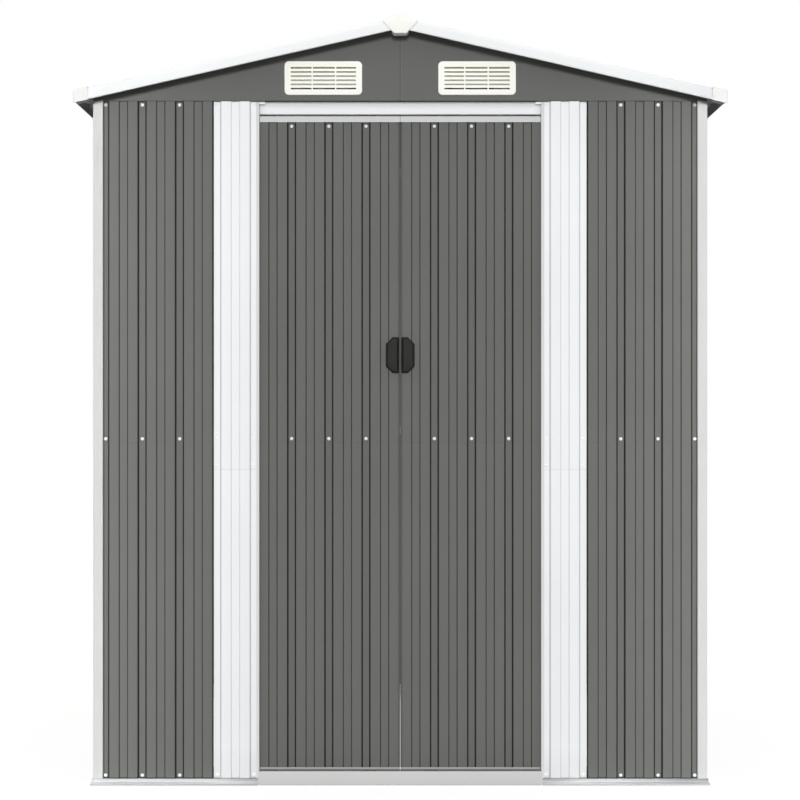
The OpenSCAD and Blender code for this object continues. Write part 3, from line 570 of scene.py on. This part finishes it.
rises = np.r_[handleForm["baseRise"], handleHigh.y - handleLow.y - handleForm["faceDrop"]]
insets = np.r_[handleForm["baseInset"], handleForm["faceInset"]]
handle = ringGrid(np.array([np.insert(halfOctagon(inset), 1, handleHigh.y - rise, axis=1)
                            for inset, rise in zip(insets, rises)]))
rightDoor = (("_sheets", doorSheets, greySteel, "_panels"), ("_channels", doorRails, lightSteel, "_rails"),
             ("_pull", [handle], blackSlot, "_handle"))
for body in ("right_door", "left_door"):
    for ending, shapes, slotName, node in rightDoor:
        ownShapes = shapes if body == "right_door" else mirroredAll(shapes, 0)
        makePiece(body + ending, ownShapes, slotName, body, [body + node])
print("doors made")

# folded posts, rails, jambs and header
postForm = sized(leg=28.7, lip=9, thickness=1, bend=1.5, slant=5, topGap=1, topDrop=6) | dict(
    shadeTurns=np.array([0, 0.93, 1]), shade=(0.25, 0.27, 0.13))
postTop = wallTop - postForm["topGap"]


# corner post: an L with two lips, its side leg taller than its front leg, which is cut to the roof slope
def postPlace(a, b, s):
    rise = np.clip((b + halfDeep) / postForm["slant"], 0, 1)
    front = postTop - postForm["topDrop"] * (1 - (a + halfWide) / postForm["leg"])
    top = front + (sideTop - front) * rise
    return a, b, ledgeZ + (top - ledgeZ) * s


legX, legY = -halfWide + postForm["leg"], -halfDeep + postForm["leg"]
postLine = [[-halfWide + postForm["lip"], legY], [-halfWide, legY], [-halfWide, -halfDeep], [legX, -halfDeep],
            [legX, -halfDeep + postForm["lip"]]]
# the posts carry painted shade, a little less near the top, where the verge's shadow falls on them
shadeTurns = postForm["shadeTurns"]
frontPost = foldedStrip(postLine, postForm["bend"], -postForm["thickness"], shadeTurns, postPlace)
postShade = np.interp(frontPost[0][:, 2], shadeTurns * wallTop, postForm["shade"])
frontPosts = withMirror([(*frontPost, postShade)])
makePiece("front_posts", frontPosts, lightSteel, nodes=["front_corner_posts"])
makePiece("rear_posts", mirroredAll(frontPosts, 1), lightSteel, nodes=["rear_corner_posts"])

jambForm = sized(lip=9, face=2, turn=2, back=18, thickness=1, bend=1.2, tabWide=17, tabTall=7,
                 tabGap=1) | dict(shade=0.36)
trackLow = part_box("door_header_track")[0].z
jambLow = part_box("door_jambs")[0].z


# door jamb: its lip runs the full height of the panel, its return stops under the header
def jambPlace(a, b, s):
    inside = np.clip(-b / jambForm["turn"], 0, 1)
    low = ledgeZ + (jambLow - ledgeZ) * inside
    high = wallTop + (trackLow - wallTop) * inside
    return a, -frameY - b, low + (high - low) * s


# tab of the jamb over the doorway's upper corner
def tabPlace(a, b, s):
    return a - jambX, -frameY - b, wallTop - jambForm["tabGap"] - jambForm["tabTall"] * s


face = jambForm["face"]
jambLine = [[-jambX - jambForm["lip"], face], [-jambX, face], [-jambX, -jambForm["back"]]]
jamb = foldedStrip(jambLine, jambForm["bend"], jambForm["thickness"], [0, 1], jambPlace)
tab = foldedStrip([[0, face], [jambForm["tabWide"], face]], [], jambForm["thickness"], [0, 1], tabPlace)
# the jamb carries painted shade, a tone darker than the panels beside it
jambTrims = withMirror([shaded(jamb, jambForm["shade"]), tab])
makePiece("door_jamb_trims", jambTrims, whiteSteel, nodes=["door_jambs"])

headerForm = sized(set=11, cove=20, depth=50, slotFront=23.5, slotBack=35.5, thickness=1.5, bend=2.5,
                   shadeIn=np.array([24, 8, 0])) | dict(coveSteps=7, shade=(0.0, 0.12, 0.38))
# its face curves back from the wall frame along a parabola, then drops straight to the track
coveStep = np.linspace(1, 0, headerForm["coveSteps"])
coveBack = headerForm["set"] * (1 - (1 - coveStep) ** 2)
cove = np.column_stack([-coveBack, wallTop - headerForm["cove"] * coveStep])
headerLine = np.vstack([[[-headerForm["slotFront"], trackLow], [-headerForm["set"], trackLow]], cove,
                        [[-headerForm["depth"], wallTop], [-headerForm["depth"], trackLow],
                         [-headerForm["slotBack"], trackLow]]])
# painted shade makes it darker beside the jambs
headerSide = jambX - headerForm["shadeIn"]
headerStations = np.r_[-frameX, -headerSide[::-1], headerSide, frameX]
header = foldedStrip(headerLine, headerForm["bend"], -headerForm["thickness"], headerStations, alongDoor)
header = (*header, np.interp(np.abs(header[0][:, 0]), headerSide, headerForm["shade"]))
makePiece("door_header", [header], whiteSteel, nodes=["door_header_track"])

baseForm = sized(up=45, ledgeOut=13, toeOut=55, toeTall=4.5, thickness=1.5, bend=1.2, ledgeIn=0.9,
                 webOut=0.5, rootOut=3, edgeIn=1.7, clear=1) | dict(
    stations=15, shade=(1.0, 0.58, 0.78, 0.06), alongX=(0.46, 0.53, 0.62, 0.86),
    alongShade=(0.27, 0.02, 0.02), left=(0.12, 0.13), right=(0.0, 0.47))
jambOuter = jambX + jambForm["thickness"]
out, toe, toeTall = baseForm["ledgeOut"], baseForm["toeOut"], baseForm["toeTall"]


# front base rail: upright, ledge, web and toe in one folded strip, mitred at the corner as far as the web
def basePlace(n, z, s):
    corner = -frameX - np.clip(n, -out, out)
    return corner + (-jambOuter - corner) * s, -frameY - n, z + 0 * s


baseLine = [[0, baseForm["up"]], [0, ledgeZ], [out, ledgeZ], [out, toeTall], [toe, toeTall], [toe, 0]]
baseStations = np.linspace(0, 1, baseForm["stations"])
baseRail = foldedStrip(baseLine, baseForm["bend"], baseForm["thickness"], baseStations, basePlace)
baseX, baseOut, baseUp = -baseRail[0][:, 0], -frameY - baseRail[0][:, 1], baseRail[0][:, 2]
# its painted shade is deepest under the sheets, middling on the web, faint at the root of the toe, none
# on the toe and deep on its front edge
onLedge = baseOut < out - baseForm["ledgeIn"]
onWeb = (baseOut < out + baseForm["webOut"]) & (baseUp > toeTall + baseForm["clear"])
toeEdge = (baseOut > toe - baseForm["edgeIn"]) & (baseUp < toeTall - baseForm["clear"])
atRoot = baseOut < out + baseForm["rootOut"]
baseShade = np.select([onLedge, onWeb, toeEdge, atRoot], baseForm["shade"], 0.0)


# painted shade also makes it darker beside the doorway and towards the outer corner, most at the right one
def railShade(edgeLevel, cornerLevel):
    along = np.interp(baseX, baseForm["alongX"], (*baseForm["alongShade"], cornerLevel))
    return baseShade + np.where(toeEdge, edgeLevel, along)


leftRail = (*baseRail, railShade(*baseForm["left"]))
rightRail = (*mirrored(baseRail, 0), railShade(*baseForm["right"]))
makePiece("front_base_channel", [leftRail, rightRail], whiteSteel, nodes=["front_base_rail"])

sillForm = sized(hem=8, thickness=1.5, bend=2.0, back=1.5) | dict(shade=0.08)
sillLow = sillForm["thickness"]
sillTop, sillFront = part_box("door_sill")[1].z - sillLow, toe - sillLow
sillLine = [[-sillForm["back"], sillLow], [sillFront, sillLow], [sillFront, sillTop],
            [toe - sillForm["hem"], sillTop]]
sill = foldedStrip(sillLine, sillForm["bend"], sillForm["thickness"], [-jambX, jambX], alongDoor)
# the sill plate carries a light painted shade
makePiece("door_sill_plate", [shaded(sill, sillForm["shade"])], lightSteel, nodes=["door_sill"])
print("posts, jambs, header, base rail and sill made")

# turned lower edge of the gables: a narrow strip from post to post that carries painted shade for the
# shadow line under the gables, deeper over the doorway
hemForm = sized(over=1.2, doorUnder=1.5, sideUnder=0.2, out=0.1, thickness=0.7) | dict(
    doorShade=1.0, sideShade=0.6)
hemOut = frameY + ribForm["crest"] + hemForm["out"]
hemEnd, hemTurn = halfWide - postForm["leg"], jambX - jambForm["tabWide"]


def gableHem(ends, under, level):
    line = [[-hemOut, wallTop + hemForm["over"]], [-hemOut, wallTop - under]]
    return shaded(foldedStrip(line, [], hemForm["thickness"], ends, acrossGable), level)


doorHem = gableHem([-hemTurn, hemTurn], hemForm["doorUnder"], hemForm["doorShade"])
sideHem = gableHem([hemTurn, hemEnd], hemForm["sideUnder"], hemForm["sideShade"])
rearHem = mirrored(gableHem([-hemEnd, hemEnd], hemForm["sideUnder"], hemForm["sideShade"]), 1)
makePiece("gable_hems_painted_shade", [doorHem, *withMirror([sideHem]), rearHem], greySteel)

# seam in the middle of each gable: a lap strip with painted shade behind it and a bead with a painted
# highlight beside it
seamForm = sized(lapHalf=8, lapSet=1.2, lapLow=2, beadEnd=3.2, beadLow=3, underRoof=3) | dict(
    lapShade=1.0, beadShade=-0.05)


def seamStrip(x0, x1, y, thickness, low, level):
    heights = [wallTop + low, roofLine(x1, -seamForm["underRoof"])]
    return shaded(foldedStrip([[x0, -y], [x1, -y]], [], -thickness, heights, upward), level)


lapY = frameY + ribForm["crest"] - seamForm["lapSet"]
lap = seamStrip(-seamForm["lapHalf"], seamForm["lapHalf"], lapY, hemForm["thickness"], seamForm["lapLow"],
                seamForm["lapShade"])
highlightBead = seamStrip(gableGap, seamForm["beadEnd"], hemOut, hemForm["out"], seamForm["beadLow"],
                 seamForm["beadShade"])
makePiece("gable_laps_painted_shade_and_highlight", withMirror([lap, highlightBead], 1), greySteel)

# roof trims
trimForm = sized(top=11.3, thickness=1.2, flange=40, hem=10, vergeHeight=31.8, eaveHeight=32.4, topBend=9,
                 lowBend=1.2, eaveBend=3, vergeGap=0.2, eaveGap=2, rightDrop=2, leftDrop=0.7) | dict(
    bendSteps=6, dropFrom=0.35, dropWide=0.4, shadeX=(0.4, 0.62, 0.85, 0.98),
    rightShade=(0.02, 0.15, 0.44, 0.64), leftShade=(0, 0.1, 0.35, 0.38))
trimTop, trimLow = trimForm["top"], trimForm["top"] - trimForm["vergeHeight"]
vergeLine = [[-vergeY + trimForm["flange"], trimTop], [-vergeY, trimTop], [-vergeY, trimLow],
             [-vergeY + trimForm["hem"], trimLow]]
vergeStations = [gableGap, *trimForm["shadeX"][:3], eaveX - trimForm["vergeGap"]]


# verge trim: flange, face and turned-in hem follow the roof slope, with plumb ends; its lower edge drops a
# little towards the eave
def vergeSide(drop, levels):
    def place(y, n, x):
        down = drop * np.clip((trimTop - n) / trimForm["vergeHeight"], 0, 1)
        return x, y, roofLine(x, n) - down * np.clip((x - trimForm["dropFrom"]) / trimForm["dropWide"], 0, 1)
    strip = foldedStrip(vergeLine, [trimForm["topBend"], trimForm["lowBend"]], -trimForm["thickness"],
                        vergeStations, place, trimForm["bendSteps"])
    return (*strip, np.interp(strip[0][:, 0], trimForm["shadeX"], levels))


# painted shade along each verge trim, growing towards the eave, more at the right than at the left
frontVerge = [vergeSide(trimForm["rightDrop"], trimForm["rightShade"]),
              mirrored(vergeSide(trimForm["leftDrop"], trimForm["leftShade"]), 0)]
makePiece("front_verge", frontVerge, whiteSteel, nodes=["front_verge_trims"])
makePiece("rear_verge", mirroredAll(frontVerge, 1), whiteSteel, nodes=["rear_verge_trims"])

eaveTop, eaveIn = roofLine(eaveX, trimTop), eaveX - trimForm["flange"]
eaveLine = [[eaveIn, roofLine(eaveIn, trimTop)], [eaveX, eaveTop], [eaveX, eaveTop - trimForm["eaveHeight"]]]
eaveReach = vergeY - trimForm["eaveGap"]
eave = foldedStrip(eaveLine, trimForm["eaveBend"], trimForm["thickness"], [-eaveReach, eaveReach], alongDepth)
makePiece("eave_fascias", withMirror([eave]), whiteSteel, nodes=["eave_trims"])

ridgeForm = sized(half=50, foot=14, peak=21, thickness=1.5, bend=4, seat=9.1)
ridgeEdge = roofLine(ridgeForm["half"], ridgeForm["seat"]) + ridgeForm["thickness"]
ridgeFoot = ridgeForm["half"] + ridgeForm["foot"]
footZ = roofLine(ridgeFoot, ridgeForm["seat"]) + ridgeForm["thickness"]
ridgeLine = [[-ridgeFoot, footZ], [-ridgeForm["half"], ridgeEdge], [0, ridgeEdge + ridgeForm["peak"]],
             [ridgeForm["half"], ridgeEdge], [ridgeFoot, footZ]]
ridgeSpan = vergeY - trimForm["flange"]
ridge = foldedStrip(ridgeLine, ridgeForm["bend"], ridgeForm["thickness"], [-ridgeSpan, ridgeSpan], alongDepth)
makePiece("ridge_roll", [ridge], greySteel, nodes=["ridge_cap"])
print("roof trims made")

# louvred vents; the frame's section is given as shares of the way in to the slots and heights over the gable
ventForm = sized(wide=228, tall=99, corner=12.7, step=12.2, slot=5, bar=4, barShift=3.5, barSet=0.15,
                 opening=192, face=3.6, thick=2, overlap=0.5, bladeFront=1.5, bladeBack=5.5, bladeRise=7,
                 bladeThick=1.2, sink=0.6,
                 height=np.array([0, 2.6, 3.4, 3.85, 4, 4, 3.6, 3.6, 3.5, 3.0, -5, -5, 0])) | dict(
    cornerShrink=0.92, rows=6, bladeShades=(0.48, 0.53, 0.66, 0.74, 1.0),
    share=np.array([0, 0, 0.03, 0.09, 0.17, 0.42, 0.46, 0.92, 0.97, 1, 1, 0.78, 0.78]))
ventLow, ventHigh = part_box("front_vents")
ventX = ventHigh.x - ventForm["wide"] / 2
ventZ = (ventLow.z + ventHigh.z) / 2
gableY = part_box("front_gables")[0].y


def onVent(u, n, s):
    return ventX + u, gableY - n, ventZ + s


def acrossVent(n, s, u):
    return onVent(u, n, s)


# rounded rectangle of half sizes a and b as points round its four corner arcs
def roundedFrame(a, b, radius, steps=8):
    corner = np.array([[1, 1], [-1, 1], [-1, -1], [1, -1]])
    angle = np.linspace(0, pi / 2, steps + 1)[None, :] + np.arange(4)[:, None] * pi / 2
    x = corner[:, :1] * (a - radius) + radius * np.cos(angle)
    z = corner[:, 1:] * (b - radius) + radius * np.sin(angle)
    return np.column_stack([x.ravel(), z.ravel()])


# frame of a vent: its section carried round the rounded rectangle; the section has a rounded outer edge,
# a raised border, a sunk field and a lip at the slots
def ventFrame():
    slotZ = ventForm["tall"] / 2 - (ventForm["rows"] - 1) / 2 * ventForm["step"] - ventForm["slot"] / 2
    slotX = (ventForm["wide"] - ventForm["opening"]) / 2
    grid = np.array([roundedFrame(ventForm["wide"] / 2 - share * slotX, ventForm["tall"] / 2 - share * slotZ,
                                  ventForm["corner"] * (1 - ventForm["cornerShrink"] * share))
                     for share in ventForm["share"]])
    height = ventForm["height"][:, None] + 0 * grid[..., 0]
    return hoopGrid(np.stack(onVent(grid[..., 0], height, grid[..., 1]), -1))


# louvre: a flat bar between two slots, and behind it a blade with painted shade that rises inward behind
# the slot above
def ventLouvre(middle, shade):
    half = (ventForm["step"] - ventForm["slot"]) / 2
    reach = ventForm["opening"] / 2 + ventForm["overlap"]
    barLine = [[ventForm["face"], middle - half], [ventForm["face"], middle + half]]
    bar = foldedStrip(barLine, [], -ventForm["thick"], [-reach, reach], acrossVent)
    bladeLow = middle + half - ventForm["overlap"]
    bladeLine = [[ventForm["bladeFront"], bladeLow],
                 [-ventForm["bladeBack"], bladeLow + ventForm["bladeRise"]]]
    blade = foldedStrip(bladeLine, [], -ventForm["bladeThick"], [-reach, reach], acrossVent)
    return [bar, shaded(blade, shade)]


# upright bar; two of them part each slot in three
def ventBar(x):
    reach = ((ventForm["rows"] - 1) * ventForm["step"] + ventForm["slot"]) / 2 + ventForm["overlap"]
    barFace, half = ventForm["face"] - ventForm["barSet"], ventForm["bar"] / 2
    line = [[x - half, barFace], [x + half, barFace]]
    return foldedStrip(line, [], ventForm["thick"], [-reach, reach], onVent)


louvres = np.arange(ventForm["rows"] - 1) - (ventForm["rows"] - 2) / 2
louvreMiddles = louvres * ventForm["step"] - ventForm["sink"]
barX = (ventForm["opening"] + ventForm["bar"]) / 6
vent = [ventFrame(), *sum(map(ventLouvre, louvreMiddles, ventForm["bladeShades"]), []),
        ventBar(-barX - ventForm["barShift"]), ventBar(barX)]
frontVents = withMirror(vent)
makePiece("front_louvres", frontVents, creamSlot, nodes=["front_vents"], finish=ventFinish)
makePiece("rear_louvres", mirroredAll(frontVents, 1), creamSlot, nodes=["rear_vents"], finish=ventFinish)
print("vents made")

# moulded cap at each end of the ridge: a front plate with a rounded edge, a roof and a tray
capForm = sized(cornerRound=2.5, sideTall=6.7, lowHalf=18, lowDrop=38.5, wall=2.4,
                plateInset=np.array([0, 0, 0.66, 2.2, 2.53]), plateDepth=np.array([1.98, 1.1, 0.1, 0]),
                roofBend=4, roofSet=1, roofBack=24, trayBend=2, traySet=1.5, trayDeep=48, trayRise=6)
capLow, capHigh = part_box("ridge_end_caps")
capFront, capBack = capLow.y, -vergeY
capHalf, capPeak = capHigh.x, capHigh.z
capTop = capPeak - ridgeForm["peak"]
trayZ = capTop - capForm["lowDrop"]


# front plate of the ridge cap: its outline drawn in by an inset, with rounded corners
def capOutline(inset):
    x = np.array([0, -capHalf, -capHalf, -capForm["lowHalf"]])
    z = np.array([capPeak, capTop, capTop - capForm["sideTall"], trayZ])
    outline = np.column_stack([np.r_[x, -x[:0:-1]], np.r_[z, z[:0:-1]]])
    middle = np.array([0, (capPeak + trayZ) / 2])
    reach = np.array([capHalf, (capPeak - trayZ) / 2])
    return roundedOutline(middle + (outline - middle) * (1 - inset / reach), capForm["cornerRound"])


plateDepths = np.r_[capBack, capFront + capForm["plateDepth"]]
capPlate = ringGrid(np.array([np.insert(capOutline(inset), 1, y, axis=1)
                              for inset, y in zip(capForm["plateInset"], plateDepths)]))
capRoofSpan = [capFront + capForm["roofSet"], capBack + trimForm["flange"] + capForm["roofBack"]]
capRoof = foldedStrip([[-capHalf, capTop], [0, capPeak], [capHalf, capTop]], capForm["roofBend"],
                      capForm["wall"], capRoofSpan, alongDepth)
trayLow, trayRise = capForm["lowHalf"], capForm["trayRise"]
trayHigh = trayLow + trayRise * (capHalf - trayLow) / (capForm["lowDrop"] - capForm["sideTall"])
trayLine = [[-trayHigh, trayZ + trayRise], [-trayLow, trayZ], [trayLow, trayZ], [trayHigh, trayZ + trayRise]]
capTray = foldedStrip(trayLine, capForm["trayBend"], -capForm["wall"],
                      [capFront + capForm["traySet"], capFront + capForm["trayDeep"]], alongDepth)
makePiece("ridge_caps", withMirror([capPlate, capRoof, capTray], 1), creamSlot, nodes=["ridge_end_caps"])

# moulded caps at the roof corners, a little deeper at the right than at the left
cornerForm = sized(wide=43, wall=2, bend=3.5, top=2, floor=1.5, clear=0.1, thinner=0.2, sideRise=7,
                   lidSet=2, floorSet=2.2, floorIn=7, rightDrop=2.6, leftDrop=1.2) | dict(
    bendSteps=6, rows=(0, 0.04, 0.94, 1), shade=-0.48, floorShade=-1.0)
cornerLow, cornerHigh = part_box("roof_corner_caps")
tipX, tipY = cornerHigh.x, cornerLow.y
cornerIn, cornerBack = tipX - cornerForm["wide"], tipY + cornerForm["wide"] + tipX - eaveX
lidTop = trimTop + cornerForm["top"]
cornerLine = [[cornerIn, tipY], [tipX, tipY], [tipX, cornerBack]]


# corner cap: an upright angle round the corner, cut along the roof slope with a side that rises towards the
# back, and a lid and a floor that follow the slope
def cornerCap(drop):
    floorTop = trimLow - cornerForm["clear"] - drop
    under = floorTop - cornerForm["floor"]

    def place(a, b, s):
        low = under + cornerForm["sideRise"] * np.clip((b - tipY) / cornerForm["wide"], 0, 1)
        return a, b, roofLine(a, low + (lidTop - low) * s)

    def plate(n, end, thickness, start):
        return foldedStrip([[cornerIn, n], [tipX - end, n]], [], thickness - cornerForm["thinner"],
                           [tipY + start, cornerBack], alongSlope)
    wall = foldedStrip(cornerLine, cornerForm["bend"], -cornerForm["wall"], cornerForm["rows"], place,
                       cornerForm["bendSteps"])
    lid = plate(lidTop, cornerForm["lidSet"], cornerForm["top"], cornerForm["lidSet"])
    floor = plate(floorTop, cornerForm["floorIn"], cornerForm["floor"], cornerForm["floorSet"])
    # the walls and lid carry painted shade, the floor a deeper painted shade
    return [shaded(wall, cornerForm["shade"]), shaded(lid, cornerForm["shade"]),
            shaded(floor, cornerForm["floorShade"])]


frontCaps = cornerCap(cornerForm["rightDrop"]) + mirroredAll(cornerCap(cornerForm["leftDrop"]), 0)
makePiece("corner_caps", withMirror(frontCaps, 1), creamSlot, nodes=["roof_corner_caps"])
print("caps made")

# screws with white washers, standing in the rib valleys
screwForm = sized(reach=np.array([5.0, 4.9, 4.6, 3.5, 3.2, 2.7, 1.1]),
                  rise=np.array([0, 0.6, 0.9, 1.1, 2.0, 2.5, 2.7]), low=8.5, high=10, whiteHigh=8, seam=12,
                  doorHigh=27.4, postShift=1.8, roofRows=np.array([130, 480, 880])) | dict(
    sides=16, postShade=0.6)
valleyLevel = ribForm["crest"] - ribForm["valleyDepth"]


# each screw turns its section of reach and rise round an axis at u, s that points out of the sheet
def screwRow(us, levels, place):
    angle = np.linspace(0, 2 * pi, screwForm["sides"], endpoint=False)[None, :]
    reach, rise = screwForm["reach"][:, None], screwForm["rise"][:, None]
    across, out, up = reach * np.cos(angle), valleyLevel + rise + 0 * angle, reach * np.sin(angle)
    return [ringGrid(np.stack(place(u + across, out, s + up), -1)) for u in us for s in levels]


seamLevel, jambLevel = seamZ + screwForm["seam"], jambSeamZ + screwForm["seam"]
wallLevels = [ledgeZ + screwForm["low"], seamLevel, wallTop - screwForm["high"]]
sideLevels = wallLevels[:2] + [sideTop - screwForm["high"]]
whiteLevels = [ledgeZ + screwForm["high"], jambLevel, seamLevel, wallTop - screwForm["whiteHigh"]]
greyValleys, whiteValleys = frontValleys[:3] + np.array([screwForm["postShift"], 0, 0]), frontValleys[3:]
greyFront = screwRow(greyValleys, wallLevels, onFront)
# the uppermost screw beside the corner post carries painted shade for the shadow of the verge
greyFront[2] = shaded(greyFront[2], screwForm["postShade"])
frontScrews = withMirror(greyFront + screwRow(whiteValleys, whiteLevels, onFront))
otherScrews = [*screwRow(sideValleys, sideLevels, onLeft), *screwRow(sideValleys, sideLevels, onRight),
               *screwRow(rearValleys, wallLevels, onRear)]
roofScrews = withMirror(screwRow(roofValleys, screwForm["roofRows"], onRoof))
doorScrews = screwRow(doorValleys[1:4], [seamLevel, doorHigh.z - screwForm["doorHigh"]], onDoor)
makePiece("front_screws", frontScrews, whiteSteel)
makePiece("wall_screws", otherScrews, whiteSteel)
makePiece("roof_screws", roofScrews, whiteSteel)
makePiece("right_door_screws", doorScrews, whiteSteel, "right_door")
makePiece("left_door_screws", mirroredAll(doorScrews, 0), whiteSteel, "left_door")
print("screws made,", len(frontScrews + otherScrews + roofScrews) + 2 * len(doorScrews))

# studio: pale floor, white surroundings, soft lamps and the camera
photoCamera = sized(aside=-0.6, eyeHeight=1125.4, distance=6400, frameWidth=2352) | dict(sensor=36.0)
studio = dict(floor="#A2A2A0", floorSize=40.0, floorShare=0.5, floorGlow=1.76, horizon=0.12, zenith=1.0)
white = (1, 1, 1, 1)

camera = bpy.data.cameras.new("camera")
camera.sensor_width = photoCamera["sensor"]
camera.lens = photoCamera["sensor"] * photoCamera["distance"] / photoCamera["frameWidth"]
cameraObject = addObject("camera", camera)
cameraObject.location = (photoCamera["aside"], -halfDeep - photoCamera["distance"], photoCamera["eyeHeight"])
cameraObject.rotation_euler = (radians(90), 0, 0)
bpy.context.scene.camera = cameraObject


# emptied node tree of a material or world, and a socket that is 1 on rays from the camera, also by
# reflection or through glass
def studioTree(owner):
    owner.use_nodes = True
    tree = owner.node_tree
    tree.nodes.clear()
    ray = addNode(tree, "ShaderNodeLightPath").outputs
    direct = combine(tree, "MAXIMUM", ray["Is Camera Ray"], ray["Is Glossy Ray"])
    return tree, combine(tree, "MAXIMUM", direct, ray["Is Transmission Ray"])


floorMesh = bpy.data.meshes.new("floor")
size = studio["floorSize"]
floorCorners = [(-size, -size, 0), (size, -size, 0), (size, size, 0), (-size, size, 0)]
floorMesh.from_pydata(floorCorners, [], [(0, 1, 2, 3)])
floor = addObject("floor", floorMesh)
floorMaterial = bpy.data.materials.new("paleFloor")
tree, seen = studioTree(floorMaterial)
share = combine(tree, "MULTIPLY", seen, studio["floorShare"])
matt = addNode(tree, "ShaderNodeBsdfDiffuse", {"Color": hexColour(studio["floor"])})
glow = addNode(tree, "ShaderNodeEmission", {"Color": white, "Strength": studio["floorGlow"]})
blend = addNode(tree, "ShaderNodeMixShader", {0: share, 1: matt.outputs[0], 2: glow.outputs[0]})
addNode(tree, "ShaderNodeOutputMaterial", {"Surface": blend.outputs[0]})
floorMesh.materials.append(floorMaterial)

world = bpy.data.worlds.new("whiteStudio")
bpy.context.scene.world = world
tree, seen = studioTree(world)
way = addNode(tree, "ShaderNodeSeparateXYZ", {0: addNode(tree, "ShaderNodeTexCoord").outputs["Generated"]})
skyLevel = mapRange(tree, way.outputs["Z"], studio["horizon"], studio["zenith"])
sky = addNode(tree, "ShaderNodeBackground", {"Color": white, "Strength": mapRange(tree, seen, skyLevel, 1.0)})
addNode(tree, "ShaderNodeOutputWorld", {"Surface": sky.outputs[0]})


# lamp that shines along +Y, tipped down by some degrees; one with a size is a rectangle
def addLamp(name, kind, power, tip, place=(0, 0, 0), size=None):
    lamp = bpy.data.lights.new(name, kind)
    lamp.energy = power
    if size:
        lamp.shape = "RECTANGLE"
        lamp.size, lamp.size_y = size
    lampObject = addObject(name, lamp)
    lampObject.location = place
    lampObject.rotation_euler = (radians(90 - tip), 0, 0)
    return lampObject


# far key lamp from just above the camera: its elevation sets the shadows under verge and gable
keyLamp = dict(elevation=10.2, softness=11, strength=1.88)
key = addLamp("keyLamp", "SUN", keyLamp["strength"], keyLamp["elevation"])
key.data.angle = radians(keyLamp["softness"])

# two tall strip lamps with grids, square on to the front, that brighten its outer edges
stripLamp = dict(aside=1.15, back=6.5, height=2.3, size=(0.3, 4.6), spread=14, watts=6)
for side in (-1, 1):
    place = (side * stripLamp["aside"], -stripLamp["back"], stripLamp["height"])
    strip = addLamp("stripLamp", "AREA", stripLamp["watts"], stripLamp["spread"] / 2, place,
                    stripLamp["size"])
    strip.data.spread = radians(stripLamp["spread"])

# soft lamp inside, facing the rear wall, so that the gap between the doors isn't black
innerLamp = dict(size=(1.4, 1.6), height=1.05, aft=0.11, watts=18)
place = (0, -frameY + innerLamp["aft"], innerLamp["height"])
inner = addLamp("innerLamp", "AREA", innerLamp["watts"], 0, place, innerLamp["size"])
inner.visible_camera = False

bpy.context.scene.view_settings.view_transform = "Standard"
print("studio ready")
